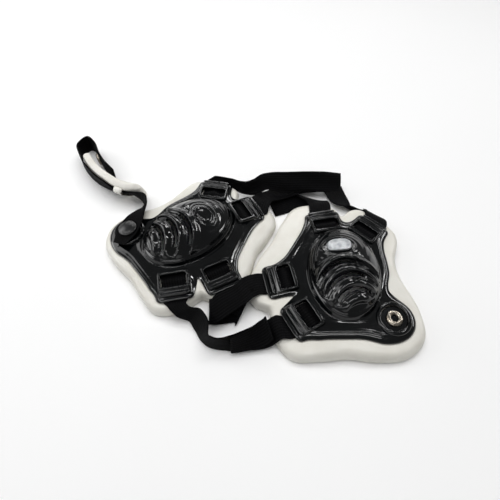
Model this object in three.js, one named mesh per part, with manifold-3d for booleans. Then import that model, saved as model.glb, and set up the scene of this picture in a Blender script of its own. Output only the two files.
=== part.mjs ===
// Wrestling headgear lying pad down: two mirrored ear guards, four joining straps and a chin strap.
// Millimetres, +Z up. A guard is drawn about the centre of its dome, then set down in its place.
import * as THREE from "three";
import { mergeVertices } from "three/addons/utils/BufferGeometryUtils.js";
import Module from "manifold-3d";

const wasm = await Module();
wasm.setup();

const DEG = Math.PI / 180;

// Where the two guards lie, how far each soft pad spreads, and the shift that centres the whole.
const CENTRE_SHIFT = { x: 18.8, y: -11.4 };
const GUARDS = {
  right: { x: 73.5, y: -30, spin: 0, flip: 1, spread: 1.035 },
  left: { x: -47.7, y: 8.7, spin: -51.4, flip: -1, spread: 0.965 },
};

// Where the soft foam of each pad gives as it lies: bearing and change of reach.
const PAD_GIVE = {
  right: [
    { at: 22, by: -4.5 },
    { at: 146, by: 3.5 },
    { at: 201, by: 3.2 },
  ],
  left: [{ at: 70, by: -4.4 }],
};
const GIVE_WIDE = 26;

// Foam pad: outline as reach from the dome centre at each bearing.
const PAD_OUTLINE = [
  { at: 0, reach: 46 },
  { at: 18, reach: 51 },
  { at: 36, reach: 65 },
  { at: 50, reach: 67 },
  { at: 60, reach: 67 },
  { at: 69, reach: 70.5 },
  { at: 76, reach: 67.5 },
  { at: 83, reach: 58 },
  { at: 89, reach: 66 },
  { at: 97, reach: 72 },
  { at: 115, reach: 75.4 },
  { at: 130, reach: 66 },
  { at: 148, reach: 58.5 },
  { at: 168, reach: 63.6 },
  { at: 188, reach: 71.4 },
  { at: 200, reach: 69.5 },
  { at: 209, reach: 62 },
  { at: 222, reach: 72 },
  { at: 238, reach: 79 },
  { at: 252, reach: 72 },
  { at: 268, reach: 67 },
  { at: 286, reach: 72 },
  { at: 302, reach: 78 },
  { at: 316, reach: 76 },
  { at: 330, reach: 63 },
  { at: 345, reach: 50 },
];
const PAD_THICK = 16;
const PAD_FALL = { drop: 4, over: 60 };
const PAD_SPOKES = 48;
const PAD_ROUND = { top: 4.4, bottom: 2, swings: [0, 90] };
const EAR_HOLE = { y: -4, halfWide: 26, halfLong: 38 };

// Moulded shell: flange, dome, strap lobes and stud lobe.
const CLEARANCE = 0.3;
const PLATE_THICK = 2.6;
const SHELL_SPOKES = 56;
const FLANGE = { halfWide: 35, halfLong: 45 };
const DOME = { y: -4, halfWide: 29, halfLong: 42, high: 20, power: 2.2, shoulder: 0.75, wall: 2.6 };
const LOBES = {
  nape: { x: -31, y: -40, axis: 209 },
  back: { x: -46, y: -8, axis: 192 },
  crown: { x: -9, y: 44.5, axis: 100 },
  brow: { x: 23, y: 37.5, axis: 46 },
};
const LOBE = { halfWide: 15, inner: -18, end: 16, corner: 4, blend: 9 };
const STUD = { x: 33, y: -43, lobe: 16.5, blend: 16 };
const HEMS = [
  { x: 20, y: -49, alongX: -42, alongY: 0, radius: 9 },
  { x: 27.5, y: 35, alongX: -2, alongY: -35, radius: 8.6 },
  { x: -20, y: 40, alongX: -20, alongY: -35, radius: 8 },
];
const RIM_ROUND = 0.8;
const FACET_SLACK = 0.13;
const DOME_RINGS = [0.4, 0.7, 0.9, 1];
const PLATE_RINGS = [0.5];
const INSIDE_RINGS = [1, 0.8, 0.45];

// Raised frame round each strap window, and the tunnel under its outer bar.
const FRAME = { halfWide: 13.2, inner: -9, outer: 14, corner: 3.5, high: 6, sunk: 1.2, bevel: 1 };
const WINDOW = { halfWide: 10.1, halfLong: 5, corner: 1.5 };
const TUNNEL = { halfWide: 10.1, from: -8.6, to: 19, roof: 2.1 };

// Crescent ribs and vent slots down the dome.
const RIB = { count: 4, x: -3, first: -4, pitch: -10, half: 24, bow: 9.7, march: 0.5, within: 0.88 };
const RIB_BAR = { wide: 4.4, high: 2, sunk: 1.2, tip: 0.5, crown: 0.4, steps: 5 };
const VENT_RIBS = [0, 1, 2];
const VENT = { below: 0.3, left: 0.9, right: 0.3, wide: 1.7, over: 4, under: 7, steps: 4 };
const BADGE = { x: -5.2, y: 8.6, turn: -4, halfWide: 9, halfLong: 6.2, square: 0.7 };
const BADGE_PLATE = { thick: 1.2, lift: 0.45 };

// Round boss, snap stud and snap of the chin strap, as turned profiles {r, z}.
const BOSS_PROFILE = [
  { r: 9.6, z: -0.8 },
  { r: 13.4, z: -0.8 },
  { r: 12.8, z: 1.5 },
  { r: 11.5, z: 2.1 },
  { r: 10, z: 1.6 },
];
const STUD_PROFILE = [
  { r: 2.7, z: 0.3 },
  { r: 6.2, z: 0.3 },
  { r: 6, z: 1.5 },
  { r: 4.6, z: 2.4 },
  { r: 3.2, z: 2.2 },
];
const CAP_PROFILE = [
  { r: 0, z: 0 },
  { r: 7.4, z: 0 },
  { r: 7.6, z: 0.9 },
  { r: 6.2, z: 2.1 },
  { r: 3.4, z: 2.7 },
  { r: 0, z: 2.8 },
];
const SOCKET_PROFILE = [
  { r: 0, z: 0 },
  { r: 5.8, z: 0 },
  { r: 5.8, z: 1.1 },
  { r: 4.4, z: 2 },
  { r: 2.9, z: 1.9 },
  { r: 2.6, z: 0.9 },
  { r: 0, z: 0.9 },
];
const TURNED_STEPS = 12;

// Webbing straps.
const WEB = { wide: 19, thick: 1.6, steps: 2 };
const LOBE_RUN = [
  { along: -7.4, up: 0.95 },
  { along: -4.7, up: 1 },
  { along: -0.4, up: 2.8 },
  { along: 3.2, up: 1.2 },
  { along: 8, up: 0.95 },
  { along: 16, up: 0.95 },
];

// Free runs of the straps: centre line, bearing of the width, its lean out of level and, where the
// webbing bunches in a tight turn, the share of its width that is left.
const NAPE_RUN = [
  { x: -55.4, y: -60.4, z: 13, turn: 11, lean: 7, pinch: 0.7 },
  { x: -50.4, y: -65, z: 12.5, turn: 15, lean: 28, pinch: 0.66 },
  { x: -41.4, y: -67.7, z: 10.8, turn: 19, lean: 48, pinch: 0.85 },
  { x: -36.2, y: -75.7, z: 10.3, turn: -4, lean: 52 },
  { x: -33.2, y: -85.4, z: 10.3, turn: -28, lean: 66 },
  { x: -25.8, y: -89.8, z: 10.3, turn: 30, lean: 86 },
  { x: -14.7, y: -89.2, z: 8.8, turn: 90, lean: 71, pinch: 0.87 },
  { x: -4.5, y: -86.6, z: 8.1, turn: 92, lean: 56, pinch: 0.92 },
  { x: 6, y: -83.2, z: 6.4, turn: 98, lean: 34 },
  { x: 14, y: -80.8, z: 7.2, turn: 104, lean: 12 },
  { x: 21, y: -78.4, z: 12.8, turn: 111, lean: 0 },
];
const BACK_RUN = [
  { x: -14.5, y: -53, z: 12.6, turn: 36, lean: 4 },
  { x: -7.5, y: -58, z: 11.2, turn: 55, lean: 24 },
  { x: -4.6, y: -59.6, z: 9.4, turn: 60, lean: 28 },
  { x: -8, y: -60.4, z: 7.3, turn: 68, lean: 31 },
  { x: -18, y: -62, z: 7, turn: 96, lean: 32 },
  { x: -27, y: -63.4, z: 7, turn: 92, lean: 28 },
  { x: -30.6, y: -63.6, z: 8.9, turn: 90, lean: 25 },
  { x: -28, y: -64, z: 10.9, turn: 94, lean: 23 },
  { x: -19.8, y: -59.8, z: 14.2, turn: 116, lean: 12 },
  { x: -9.6, y: -53.8, z: 15.6, turn: 120, lean: 4, pinch: 0.93 },
  { x: -1.5, y: -45.8, z: 14.8, turn: 116, lean: 0 },
  { x: 5.5, y: -41.8, z: 13.2, turn: 106, lean: 0 },
];
const CROWN_LEFT_RUN = [
  { x: 8.8, y: 42.4, z: 13, turn: 144, lean: 4 },
  { x: 13.4, y: 50.6, z: 10.2, turn: 148, lean: 2, pinch: 0.85 },
  { x: 21.8, y: 57.8, z: 5.3, turn: 134, lean: 0, pinch: 0.85 },
  { x: 32, y: 64.4, z: 4.8, turn: 114, lean: 2 },
  { x: 46, y: 69.4, z: 5.6, turn: 98, lean: 0 },
  { x: 62, y: 71.4, z: 5.6, turn: 92, lean: 0 },
];
const CROWN_RIGHT_RUN = [
  { x: 61.8, y: 39, z: 12.9, turn: 190, lean: 0 },
  { x: 61, y: 46, z: 9.6, turn: 186, lean: 0 },
  { x: 59.6, y: 52.2, z: 4.9, turn: 172, lean: 0 },
  { x: 56.2, y: 56, z: 2.5, turn: 155, lean: 0 },
  { x: 51.6, y: 56.2, z: 1.1, turn: 138, lean: 0 },
  { x: 41, y: 53, z: 1.1, turn: 114, lean: 0 },
  { x: 20, y: 45.4, z: 1.1, turn: 108, lean: 0 },
];
const BROW_LEFT_RUN = [
  { x: -29.6, y: 67.8, z: 12.6, turn: 166, lean: 2, pinch: 0.9 },
  { x: -26.5, y: 69.7, z: 10.9, turn: 150, lean: 20, pinch: 0.62 },
  { x: -21, y: 69.6, z: 10.5, turn: 126, lean: 52, pinch: 0.55 },
  { x: -15.4, y: 67.8, z: 10.8, turn: 104, lean: 68, pinch: 0.6 },
  { x: -9.6, y: 64.8, z: 10.6, turn: 92, lean: 76, pinch: 0.7 },
  { x: -3, y: 63, z: 10.8, turn: 88, lean: 76, pinch: 0.75 },
  { x: 4, y: 63.2, z: 11.8, turn: 88, lean: 62, pinch: 0.78 },
  { x: 15, y: 66.4, z: 15.2, turn: 90, lean: 48, pinch: 0.8 },
  { x: 30, y: 67.2, z: 13.4, turn: 90, lean: 40 },
  { x: 50, y: 67.6, z: 13.4, turn: 90, lean: 38 },
  { x: 68, y: 67.6, z: 13.4, turn: 90, lean: 38 },
  { x: 84, y: 67.6, z: 13.4, turn: 90, lean: 38, pinch: 0.85 },
];
const BROW_RIGHT_RUN = [
  { x: 109.3, y: 25, z: 12.9, turn: 141, lean: 0 },
  { x: 109.3, y: 30.8, z: 10.4, turn: 147, lean: 4, pinch: 0.95 },
  { x: 107.3, y: 33.6, z: 6.3, turn: 150, lean: 40, pinch: 0.62 },
  { x: 102.7, y: 37.1, z: 4.4, turn: 156, lean: 74, pinch: 0.34 },
  { x: 97.9, y: 40, z: 3.4, turn: 163, lean: 88, pinch: 0.3 },
  { x: 93, y: 41.9, z: 4.4, turn: 178, lean: 72, pinch: 0.38 },
  { x: 88.6, y: 43.4, z: 5.2, turn: 194, lean: 46, pinch: 0.5 },
  { x: 85.6, y: 48, z: 4.2, turn: 200, lean: 20, pinch: 0.8 },
  { x: 82.6, y: 55, z: 2.3, turn: 200, lean: 8, pinch: 0.95 },
  { x: 80, y: 64, z: 1.5, turn: 197, lean: 3, pinch: 0.95 },
  { x: 78, y: 71, z: 1.2, turn: 195, lean: 0 },
];
const CHIN_RUN = [
  { x: -107, y: -7, z: 18.8, turn: 160, lean: -7, pinch: 0.62 },
  { x: -101.9, y: 7.7, z: 19.4, turn: 160, lean: -7 },
  { x: -97.8, y: 19, z: 20, turn: 160, lean: -10, pinch: 0.85 },
  { x: -94.9, y: 29, z: 18, turn: 158, lean: -34, pinch: 0.66 },
  { x: -93.2, y: 37.6, z: 15.2, turn: 166, lean: -60, pinch: 0.75 },
  { x: -95, y: 46, z: 12.2, turn: 200, lean: -84 },
  { x: -102, y: 52, z: 10.4, turn: 230, lean: -112 },
  { x: -111, y: 56.5, z: 10.4, turn: 239, lean: -132 },
  { x: -122, y: 60.6, z: 10.4, turn: 240, lean: -124 },
  { x: -133, y: 66.4, z: 10, turn: 237, lean: -108 },
  { x: -144, y: 74.6, z: 9.8, turn: 230, lean: -100 },
  { x: -154.6, y: 86, z: 9.8, turn: 220, lean: -94 },
  { x: -163.4, y: 100, z: 9.8, turn: 208, lean: -90 },
  { x: -168, y: 113, z: 9.8, turn: 190, lean: -90 },
  { x: -161, y: 123.6, z: 9.8, turn: 110, lean: -90 },
  { x: -152.6, y: 116, z: 9.8, turn: 40, lean: -90 },
  { x: -146.4, y: 103, z: 9.8, turn: 28, lean: -90 },
  { x: -138, y: 90, z: 9.8, turn: 30, lean: -90 },
  { x: -127, y: 77.6, z: 9.8, turn: 36, lean: -90 },
];
const NAPE_TAIL = { fromRow: 12, toRow: 15.5, thick: 1.5, gap: 2.1, rise: 1.8 };
const CHIN_PAD = { from: 0.315, to: 0.66, wide: 20.4, thick: 8, gap: 0.7, rise: -0.9, steps: 14, round: 0.8 };
const KEEPER = { from: 0.392, to: 0.43, wide: 23, rise: -1.9, wall: 1.9, slack: 0.5, steps: 3 };
const CAP_AT = 1 / (CHIN_RUN.length - 1);
const SOCKET_AT = 0.893;

function padReach(bearing) {
  const turn = ((bearing % 360) + 360) % 360;
  const rows = PAD_OUTLINE;
  const count = rows.length;
  let i = count - 1;
  while (rows[i].at > turn) i -= 1;
  const row = (k) => {
    const wrapped = ((k % count) + count) % count;
    return { at: rows[wrapped].at + 360 * Math.floor(k / count), reach: rows[wrapped].reach };
  };
  const [a, b, c, d] = [row(i - 1), row(i), row(i + 1), row(i + 2)];
  const span = c.at - b.at;
  const s = (turn - b.at) / span;
  const slopeB = ((c.reach - a.reach) / (c.at - a.at)) * span;
  const slopeC = ((d.reach - b.reach) / (d.at - b.at)) * span;
  const s2 = s * s;
  const s3 = s2 * s;
  const ends = (2 * s3 - 3 * s2 + 1) * b.reach + (3 * s2 - 2 * s3) * c.reach;
  return ends + (s3 - 2 * s2 + s) * slopeB + (s3 - s2) * slopeC;
}

// Reach of a pad as it lies: the moulded outline, spread, with the local give of the foam.
function padEdge(side, bearing) {
  let reach = padReach(bearing) * GUARDS[side].spread;
  for (const { at, by } of PAD_GIVE[side]) {
    const off = ((bearing - at + 540) % 360) - 180;
    reach += by * Math.exp(-((off / GIVE_WIDE) ** 2));
  }
  return reach;
}

function padTop(x, y) {
  return PAD_THICK - (PAD_FALL.drop * (x * x + y * y)) / PAD_FALL.over ** 2;
}

function shellUnder(x, y) {
  return padTop(x, y) + CLEARANCE;
}

function domeRho(x, y, inset = 0) {
  return Math.hypot(x / (DOME.halfWide - inset), (y - DOME.y) / (DOME.halfLong - inset));
}

function domeRise(x, y, inset) {
  const rho = domeRho(x, y, inset);
  return rho >= 1 ? 0 : DOME.high * (1 - rho ** DOME.power) ** DOME.shoulder;
}

function shellTop(x, y) {
  return shellUnder(x, y) + PLATE_THICK + domeRise(x, y, 0);
}

function smoothMin(a, b, blend) {
  const h = Math.max(blend - Math.abs(a - b), 0) / blend;
  return Math.min(a, b) - (h * h * blend) / 4;
}

function lobeAxes(lobe) {
  const a = lobe.axis * DEG;
  return { ax: Math.cos(a), ay: Math.sin(a), cx: -Math.sin(a), cy: Math.cos(a) };
}

// Signed distance from the outline of the shell, negative inside.
function shellEdge(x, y) {
  const meanFlange = (FLANGE.halfWide + FLANGE.halfLong) / 2;
  let d = (Math.hypot(x / FLANGE.halfWide, y / FLANGE.halfLong) - 1) * meanFlange;
  for (const lobe of Object.values(LOBES)) {
    const { ax, ay, cx, cy } = lobeAxes(lobe);
    const middle = (LOBE.inner + LOBE.end) / 2;
    const u = (x - lobe.x) * ax + (y - lobe.y) * ay - middle;
    const v = (x - lobe.x) * cx + (y - lobe.y) * cy;
    const qu = Math.abs(u) - (LOBE.end - LOBE.inner) / 2 + LOBE.corner;
    const qv = Math.abs(v) - LOBE.halfWide + LOBE.corner;
    const outside = Math.hypot(Math.max(qu, 0), Math.max(qv, 0));
    const box = outside + Math.min(Math.max(qu, qv), 0) - LOBE.corner;
    d = smoothMin(d, box, LOBE.blend);
  }
  for (const hem of HEMS) {
    const run = (x - hem.x) * hem.alongX + (y - hem.y) * hem.alongY;
    const share = Math.min(Math.max(run / (hem.alongX ** 2 + hem.alongY ** 2), 0), 1);
    const off = Math.hypot(x - hem.x - share * hem.alongX, y - hem.y - share * hem.alongY);
    d = smoothMin(d, off - hem.radius, LOBE.blend);
  }
  return smoothMin(d, Math.hypot(x - STUD.x, y - STUD.y) - STUD.lobe, STUD.blend);
}

// The outline walked round at even steps, each point with its bearing.
function shellOutline(count) {
  const fine = 720;
  const farthest = 95;
  const steepest = 2;
  const reach = [];
  for (let i = 0; i < fine; i += 1) {
    const a = (i / fine) * 2 * Math.PI;
    let r = farthest;
    while (shellEdge(r * Math.cos(a), r * Math.sin(a)) > 0.02) {
      r -= Math.max(0.02, 0.6 * shellEdge(r * Math.cos(a), r * Math.sin(a)));
    }
    reach.push(r);
  }
  for (let i = 0; i < 2 * fine; i += 1) {
    const here = i % fine;
    reach[here] = Math.max(reach[here], reach[(here + fine - 1) % fine] - steepest);
  }
  for (let i = 2 * fine - 1; i >= 0; i -= 1) {
    const here = i % fine;
    reach[here] = Math.max(reach[here], reach[(here + 1) % fine] - steepest);
  }
  const spot = (i) => {
    const a = (i / fine) * 2 * Math.PI;
    return { x: reach[i % fine] * Math.cos(a), y: reach[i % fine] * Math.sin(a), bearing: a };
  };
  const walked = [0];
  for (let i = 0; i < fine; i += 1) {
    const [p, q] = [spot(i), spot(i + 1)];
    walked.push(walked[i] + Math.hypot(q.x - p.x, q.y - p.y));
  }
  const points = [];
  let i = 0;
  for (let k = 0; k < count; k += 1) {
    const goal = (walked[fine] * k) / count;
    while (walked[i + 1] < goal) i += 1;
    const s = (goal - walked[i]) / (walked[i + 1] - walked[i]);
    const [p, q] = [spot(i), spot(i + 1)];
    const bearing = p.bearing + (q.bearing - p.bearing) * s;
    points.push({ x: p.x + (q.x - p.x) * s, y: p.y + (q.y - p.y) * s, bearing });
  }
  return points;
}

function moved(geometry, move) {
  const pos = geometry.attributes.position;
  for (let i = 0; i < pos.count; i += 1) {
    const [x, y, z] = move(pos.getX(i), pos.getY(i), pos.getZ(i), i);
    pos.setXYZ(i, x, y, z);
  }
  return geometry;
}

function solidVolume(geometry) {
  const pos = geometry.attributes.position;
  const index = geometry.index.array;
  const [a, b, c] = [new THREE.Vector3(), new THREE.Vector3(), new THREE.Vector3()];
  let six = 0;
  for (let i = 0; i < index.length; i += 3) {
    a.fromBufferAttribute(pos, index[i]);
    b.fromBufferAttribute(pos, index[i + 1]);
    c.fromBufferAttribute(pos, index[i + 2]);
    six += a.dot(b.cross(c));
  }
  return six / 6;
}

// Joined corners, faces outwards.
function closed(geometry) {
  const bare = geometry;
  bare.deleteAttribute("normal");
  bare.deleteAttribute("uv");
  const whole = mergeVertices(bare, 1e-4);
  if (solidVolume(whole) < 0) {
    const index = whole.index.array;
    for (let i = 0; i < index.length; i += 3) {
      [index[i + 1], index[i + 2]] = [index[i + 2], index[i + 1]];
    }
  }
  return whole;
}

function toSolid(geometry) {
  const whole = closed(geometry);
  return new wasm.Manifold(
    new wasm.Mesh({
      numProp: 3,
      vertProperties: new Float32Array(whole.attributes.position.array),
      triVerts: new Uint32Array(whole.index.array),
    }),
  );
}

function toGeometry(solid) {
  const mesh = solid.getMesh();
  const geometry = new THREE.BufferGeometry();
  const corners = new Float32Array(mesh.numVert * 3);
  for (let i = 0; i < mesh.numVert; i += 1) {
    for (let k = 0; k < 3; k += 1) corners[3 * i + k] = mesh.vertProperties[mesh.numProp * i + k];
  }
  geometry.setAttribute("position", new THREE.BufferAttribute(corners, 3));
  geometry.setIndex(new THREE.BufferAttribute(new Uint32Array(mesh.triVerts), 1));
  return geometry;
}

function padGeometry(side) {
  const corner = (across, up, radius, from) =>
    PAD_ROUND.swings.map((k) => ({ across, up, radius, swing: (from + k) * DEG }));
  const { top, bottom } = PAD_ROUND;
  const section = [
    ...corner(1, 0, bottom, -90),
    ...corner(1, 1, top, 0),
    { across: 0.5, up: 1, radius: 0, swing: 0 },
    ...corner(0, 1, top, 90),
    ...corner(0, 0, bottom, 180),
  ];
  const sides = section.length;
  const ring = new THREE.TorusGeometry(2, 1, sides, PAD_SPOKES);
  return moved(ring, (x0, y0, z0, i) => {
    const spoke = (i % (PAD_SPOKES + 1)) % PAD_SPOKES;
    const row = section[Math.floor(i / (PAD_SPOKES + 1)) % sides];
    const bearing = (spoke / PAD_SPOKES) * 360;
    const [c, s] = [Math.cos(bearing * DEG), Math.sin(bearing * DEG)];
    const reach = padEdge(side, bearing);
    const inner = new THREE.Vector2(EAR_HOLE.halfWide * c, EAR_HOLE.halfLong * s + EAR_HOLE.y);
    const outward = new THREE.Vector2(reach * c, reach * s).sub(inner);
    const width = outward.length();
    outward.normalize();
    const inset = { 0: row.radius, 0.5: 0, 1: -row.radius }[row.across];
    const out = width * row.across + inset + row.radius * Math.cos(row.swing);
    const { x, y } = inner.addScaledVector(outward, out);
    const lift = row.radius * Math.sin(row.swing);
    return [x, y, row.up === 1 ? padTop(x, y) - row.radius + lift : row.radius + lift];
  });
}

function shellBlank() {
  const outline = shellOutline(SHELL_SPOKES);
  const rows = [];
  DOME_RINGS.forEach((rho) => rows.push({ rho, face: "top" }));
  PLATE_RINGS.forEach((out) => rows.push({ out, face: "top" }));
  rows.push({ out: 1, trim: RIM_ROUND, face: "top" });
  rows.push({ out: 1, trim: 0, face: "edge" });
  rows.push({ out: 1, trim: RIM_ROUND / 2, face: "under" });
  PLATE_RINGS.forEach((out) => rows.push({ out, face: "under" }));
  INSIDE_RINGS.forEach((rho) => rows.push({ rho, face: "under" }));
  const tall = rows.length + 1;
  const ball = new THREE.SphereGeometry(1, SHELL_SPOKES, tall);
  return moved(ball, (x0, y0, z0, i) => {
    const spoke = (i % (SHELL_SPOKES + 1)) % SHELL_SPOKES;
    const level = Math.floor(i / (SHELL_SPOKES + 1));
    if (level === 0) return [0, DOME.y, shellTop(0, DOME.y)];
    if (level === tall) return [0, DOME.y, shellUnder(0, DOME.y) + domeRise(0, DOME.y, DOME.wall)];
    const row = rows[level - 1];
    const point = outline[spoke];
    const even = (spoke / SHELL_SPOKES) * 2 * Math.PI;
    const bearing = (point.bearing + even) / 2;
    const inset = row.face === "under" ? DOME.wall : 0;
    const share = row.rho ?? 1;
    let x = (DOME.halfWide - inset) * Math.cos(bearing) * share;
    let y = (DOME.halfLong - inset) * Math.sin(bearing) * share + DOME.y;
    if (row.rho === undefined) {
      const reach = Math.hypot(point.x, point.y);
      const shrink = 1 - (row.trim ?? 0) / reach;
      [x, y] = [x + (point.x * shrink - x) * row.out, y + (point.y * shrink - y) * row.out];
    }
    const rise = row.rho === 1 ? 0 : domeRise(x, y, inset);
    const lift = { top: PLATE_THICK, edge: PLATE_THICK / 2, under: 0 }[row.face];
    return [x, y, shellUnder(x, y) + lift + rise];
  });
}

function roundedSlab(u0, u1, v, r) {
  const shape = new THREE.Shape();
  shape.moveTo(u0 + r, -v);
  shape.lineTo(u1 - r, -v);
  shape.absarc(u1 - r, -v + r, r, -Math.PI / 2, 0);
  shape.lineTo(u1, v - r);
  shape.absarc(u1 - r, v - r, r, 0, Math.PI / 2);
  shape.lineTo(u0 + r, v);
  shape.absarc(u0 + r, v - r, r, Math.PI / 2, Math.PI);
  shape.lineTo(u0, -v + r);
  shape.absarc(u0 + r, -v + r, r, Math.PI, 1.5 * Math.PI);
  return shape;
}

// Lobe coordinates (along, across, height over the plate underside) to guard coordinates.
function onLobe(lobe, geometry) {
  const { ax, ay, cx, cy } = lobeAxes(lobe);
  return moved(geometry, (u, v, h) => {
    const x = lobe.x + u * ax + v * cx;
    const y = lobe.y + u * ay + v * cy;
    return [x, y, shellUnder(x, y) + h];
  });
}

function frameSolid(lobe) {
  const shape = roundedSlab(FRAME.inner, FRAME.outer, FRAME.halfWide - FRAME.bevel, FRAME.corner);
  const slab = new THREE.ExtrudeGeometry(shape, {
    depth: FRAME.high - FRAME.sunk - 2 * FRAME.bevel,
    bevelThickness: FRAME.bevel,
    bevelSize: FRAME.bevel,
    bevelSegments: 1,
    curveSegments: 1,
  });
  slab.translate(0, 0, FRAME.sunk + FRAME.bevel);
  return toSolid(onLobe(lobe, slab));
}

function windowSolid(lobe) {
  const shape = roundedSlab(-WINDOW.halfLong, WINDOW.halfLong, WINDOW.halfWide, WINDOW.corner);
  const plug = new THREE.ExtrudeGeometry(shape, { depth: 24, bevelEnabled: false, curveSegments: 1 });
  plug.translate(0, 0, -4);
  return toSolid(onLobe(lobe, plug));
}

function tunnelSolid(lobe) {
  const length = TUNNEL.to - TUNNEL.from;
  const below = 3;
  const box = new THREE.BoxGeometry(length, 2 * TUNNEL.halfWide, TUNNEL.roof + below, 4, 3, 1);
  box.translate(TUNNEL.from + length / 2, 0, (TUNNEL.roof - below) / 2);
  return toSolid(onLobe(lobe, box));
}

// Middle line of rib k at share s of its half length: an arch, each set further right down the dome.
function ribPoint(k, s) {
  const y = RIB.first + RIB.pitch * k - RIB.bow * s * s;
  return [RIB.x + RIB.half * s - RIB.march * (y - RIB.first), y];
}

// Share of the half length at which a leg of a rib meets the rim of the dome.
function ribLeg(k, side) {
  const step = 0.05;
  let share = 1;
  while (domeRho(...ribPoint(k, side * share)) > RIB.within) share -= step;
  return share;
}

// A bar along a rib line, its section running from under the surface of the dome to over it.
function domeBar(k, left, right, bar) {
  const strip = new THREE.BoxGeometry(1, 1, 1, 1, 1, bar.steps);
  return moved(strip, (across, up, along) => {
    const thin = 1 - (1 - bar.tip) * (2 * along) ** 4;
    const width = bar.wide * thin * (up > 0 ? bar.crown : 1);
    const [x, middle] = ribPoint(k, 2 * along * (along < 0 ? left : right));
    const y = middle - across * width;
    return [x, y, shellTop(x, y) + (up > 0 ? bar.high * thin : -bar.sunk)];
  });
}

function ribSolids() {
  const bars = Array.from({ length: RIB.count }, (_, k) => domeBar(k, ribLeg(k, -1), ribLeg(k, 1), RIB_BAR));
  return bars.map(toSolid);
}

function ventSolids() {
  const bar = { ...VENT, tip: 1, crown: 1, high: VENT.over, sunk: VENT.under };
  return VENT_RIBS.map((k) => toSolid(domeBar(k + VENT.below, VENT.left, VENT.right, bar)));
}

function badgePoint(swing) {
  const [c, s] = [Math.cos(swing), Math.sin(swing)];
  const u = BADGE.halfWide * Math.sign(c) * Math.abs(c) ** BADGE.square;
  const v = BADGE.halfLong * Math.sign(s) * Math.abs(s) ** BADGE.square;
  const a = BADGE.turn * DEG;
  return [BADGE.x + u * Math.cos(a) - v * Math.sin(a), BADGE.y + u * Math.sin(a) + v * Math.cos(a)];
}

function badgeGeometry() {
  const steps = 28;
  const disc = new THREE.CylinderGeometry(1, 1, 1, steps, 1);
  return moved(disc, (x0, y0, z0) => {
    const r = Math.hypot(x0, z0);
    const swing = Math.atan2(-z0, x0);
    const [ex, ey] = badgePoint(swing);
    const x = BADGE.x + (ex - BADGE.x) * r;
    const y = BADGE.y + (ey - BADGE.y) * r;
    return [x, y, shellTop(x, y) + BADGE_PLATE.lift + (y0 > 0 ? BADGE_PLATE.thick : 0)];
  });
}

function turned(profile, atZ) {
  const onAxis = profile[0].r === 0;
  const points = profile.map((row) => new THREE.Vector2(row.r, row.z));
  if (!onAxis) points.push(points[0].clone());
  const round = new THREE.LatheGeometry(points, TURNED_STEPS);
  round.rotateX(Math.PI / 2);
  round.translate(0, 0, atZ);
  return round;
}

function onStud(geometry) {
  return moved(geometry, (u, v, h) => {
    const [x, y] = [STUD.x + u, STUD.y + v];
    return [x, y, shellTop(x, y) + h];
  });
}

function shellGeometry() {
  let solid = toSolid(shellBlank());
  ribSolids().forEach((rib) => {
    solid = solid.add(rib);
  });
  solid = solid.add(toSolid(onStud(turned(BOSS_PROFILE, 0))));
  for (const lobe of Object.values(LOBES)) {
    solid = solid.add(frameSolid(lobe));
  }
  for (const lobe of Object.values(LOBES)) {
    solid = solid.subtract(tunnelSolid(lobe)).subtract(windowSolid(lobe));
  }
  ventSolids().forEach((vent) => {
    solid = solid.subtract(vent);
  });
  return toGeometry(solid.simplify(FACET_SLACK));
}

function toWorld(guard, x, y) {
  const a = guard.spin * DEG;
  const fx = x * guard.flip;
  const wx = fx * Math.cos(a) - y * Math.sin(a) + guard.x;
  const wy = fx * Math.sin(a) + y * Math.cos(a) + guard.y;
  return [wx + CENTRE_SHIFT.x, wy + CENTRE_SHIFT.y];
}

function setDown(geometry, guard) {
  return moved(geometry, (x, y, z) => [...toWorld(guard, x, y), z]);
}

// Stations of a strap inside a lobe, from the inner end outwards.
function lobeRows(guard, lobe, nearTurn) {
  const { ax, ay, cx, cy } = lobeAxes(lobe);
  const [ox, oy] = toWorld(guard, 0, 0);
  const [wx, wy] = toWorld(guard, cx, cy);
  const bearing = Math.atan2(wy - oy, wx - ox) / DEG;
  const halfTurns = Math.round((nearTurn - bearing) / 180);
  const turn = bearing + 180 * halfTurns;
  const side = halfTurns % 2 === 0 ? 1 : -1;
  return LOBE_RUN.map(({ along, up }) => {
    const x = lobe.x + along * ax;
    const y = lobe.y + along * ay;
    const slope = shellUnder(x + cx, y + cy) - shellUnder(x, y);
    const [px, py] = toWorld(guard, x, y);
    return { x: px, y: py, z: shellUnder(x, y) + up, turn, lean: (side * Math.atan(slope)) / DEG };
  });
}

function freeRows(rows) {
  return rows.map((row) => ({ ...row, x: row.x + CENTRE_SHIFT.x, y: row.y + CENTRE_SHIFT.y }));
}

function strapRows(start, run, end) {
  const free = freeRows(run);
  const head = start ? lobeRows(GUARDS[start.guard], LOBES[start.lobe], run[0].turn) : [];
  const tail = end ? lobeRows(GUARDS[end.guard], LOBES[end.lobe], run[run.length - 1].turn) : [];
  return [...head, ...free, ...tail.reverse()];
}

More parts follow.
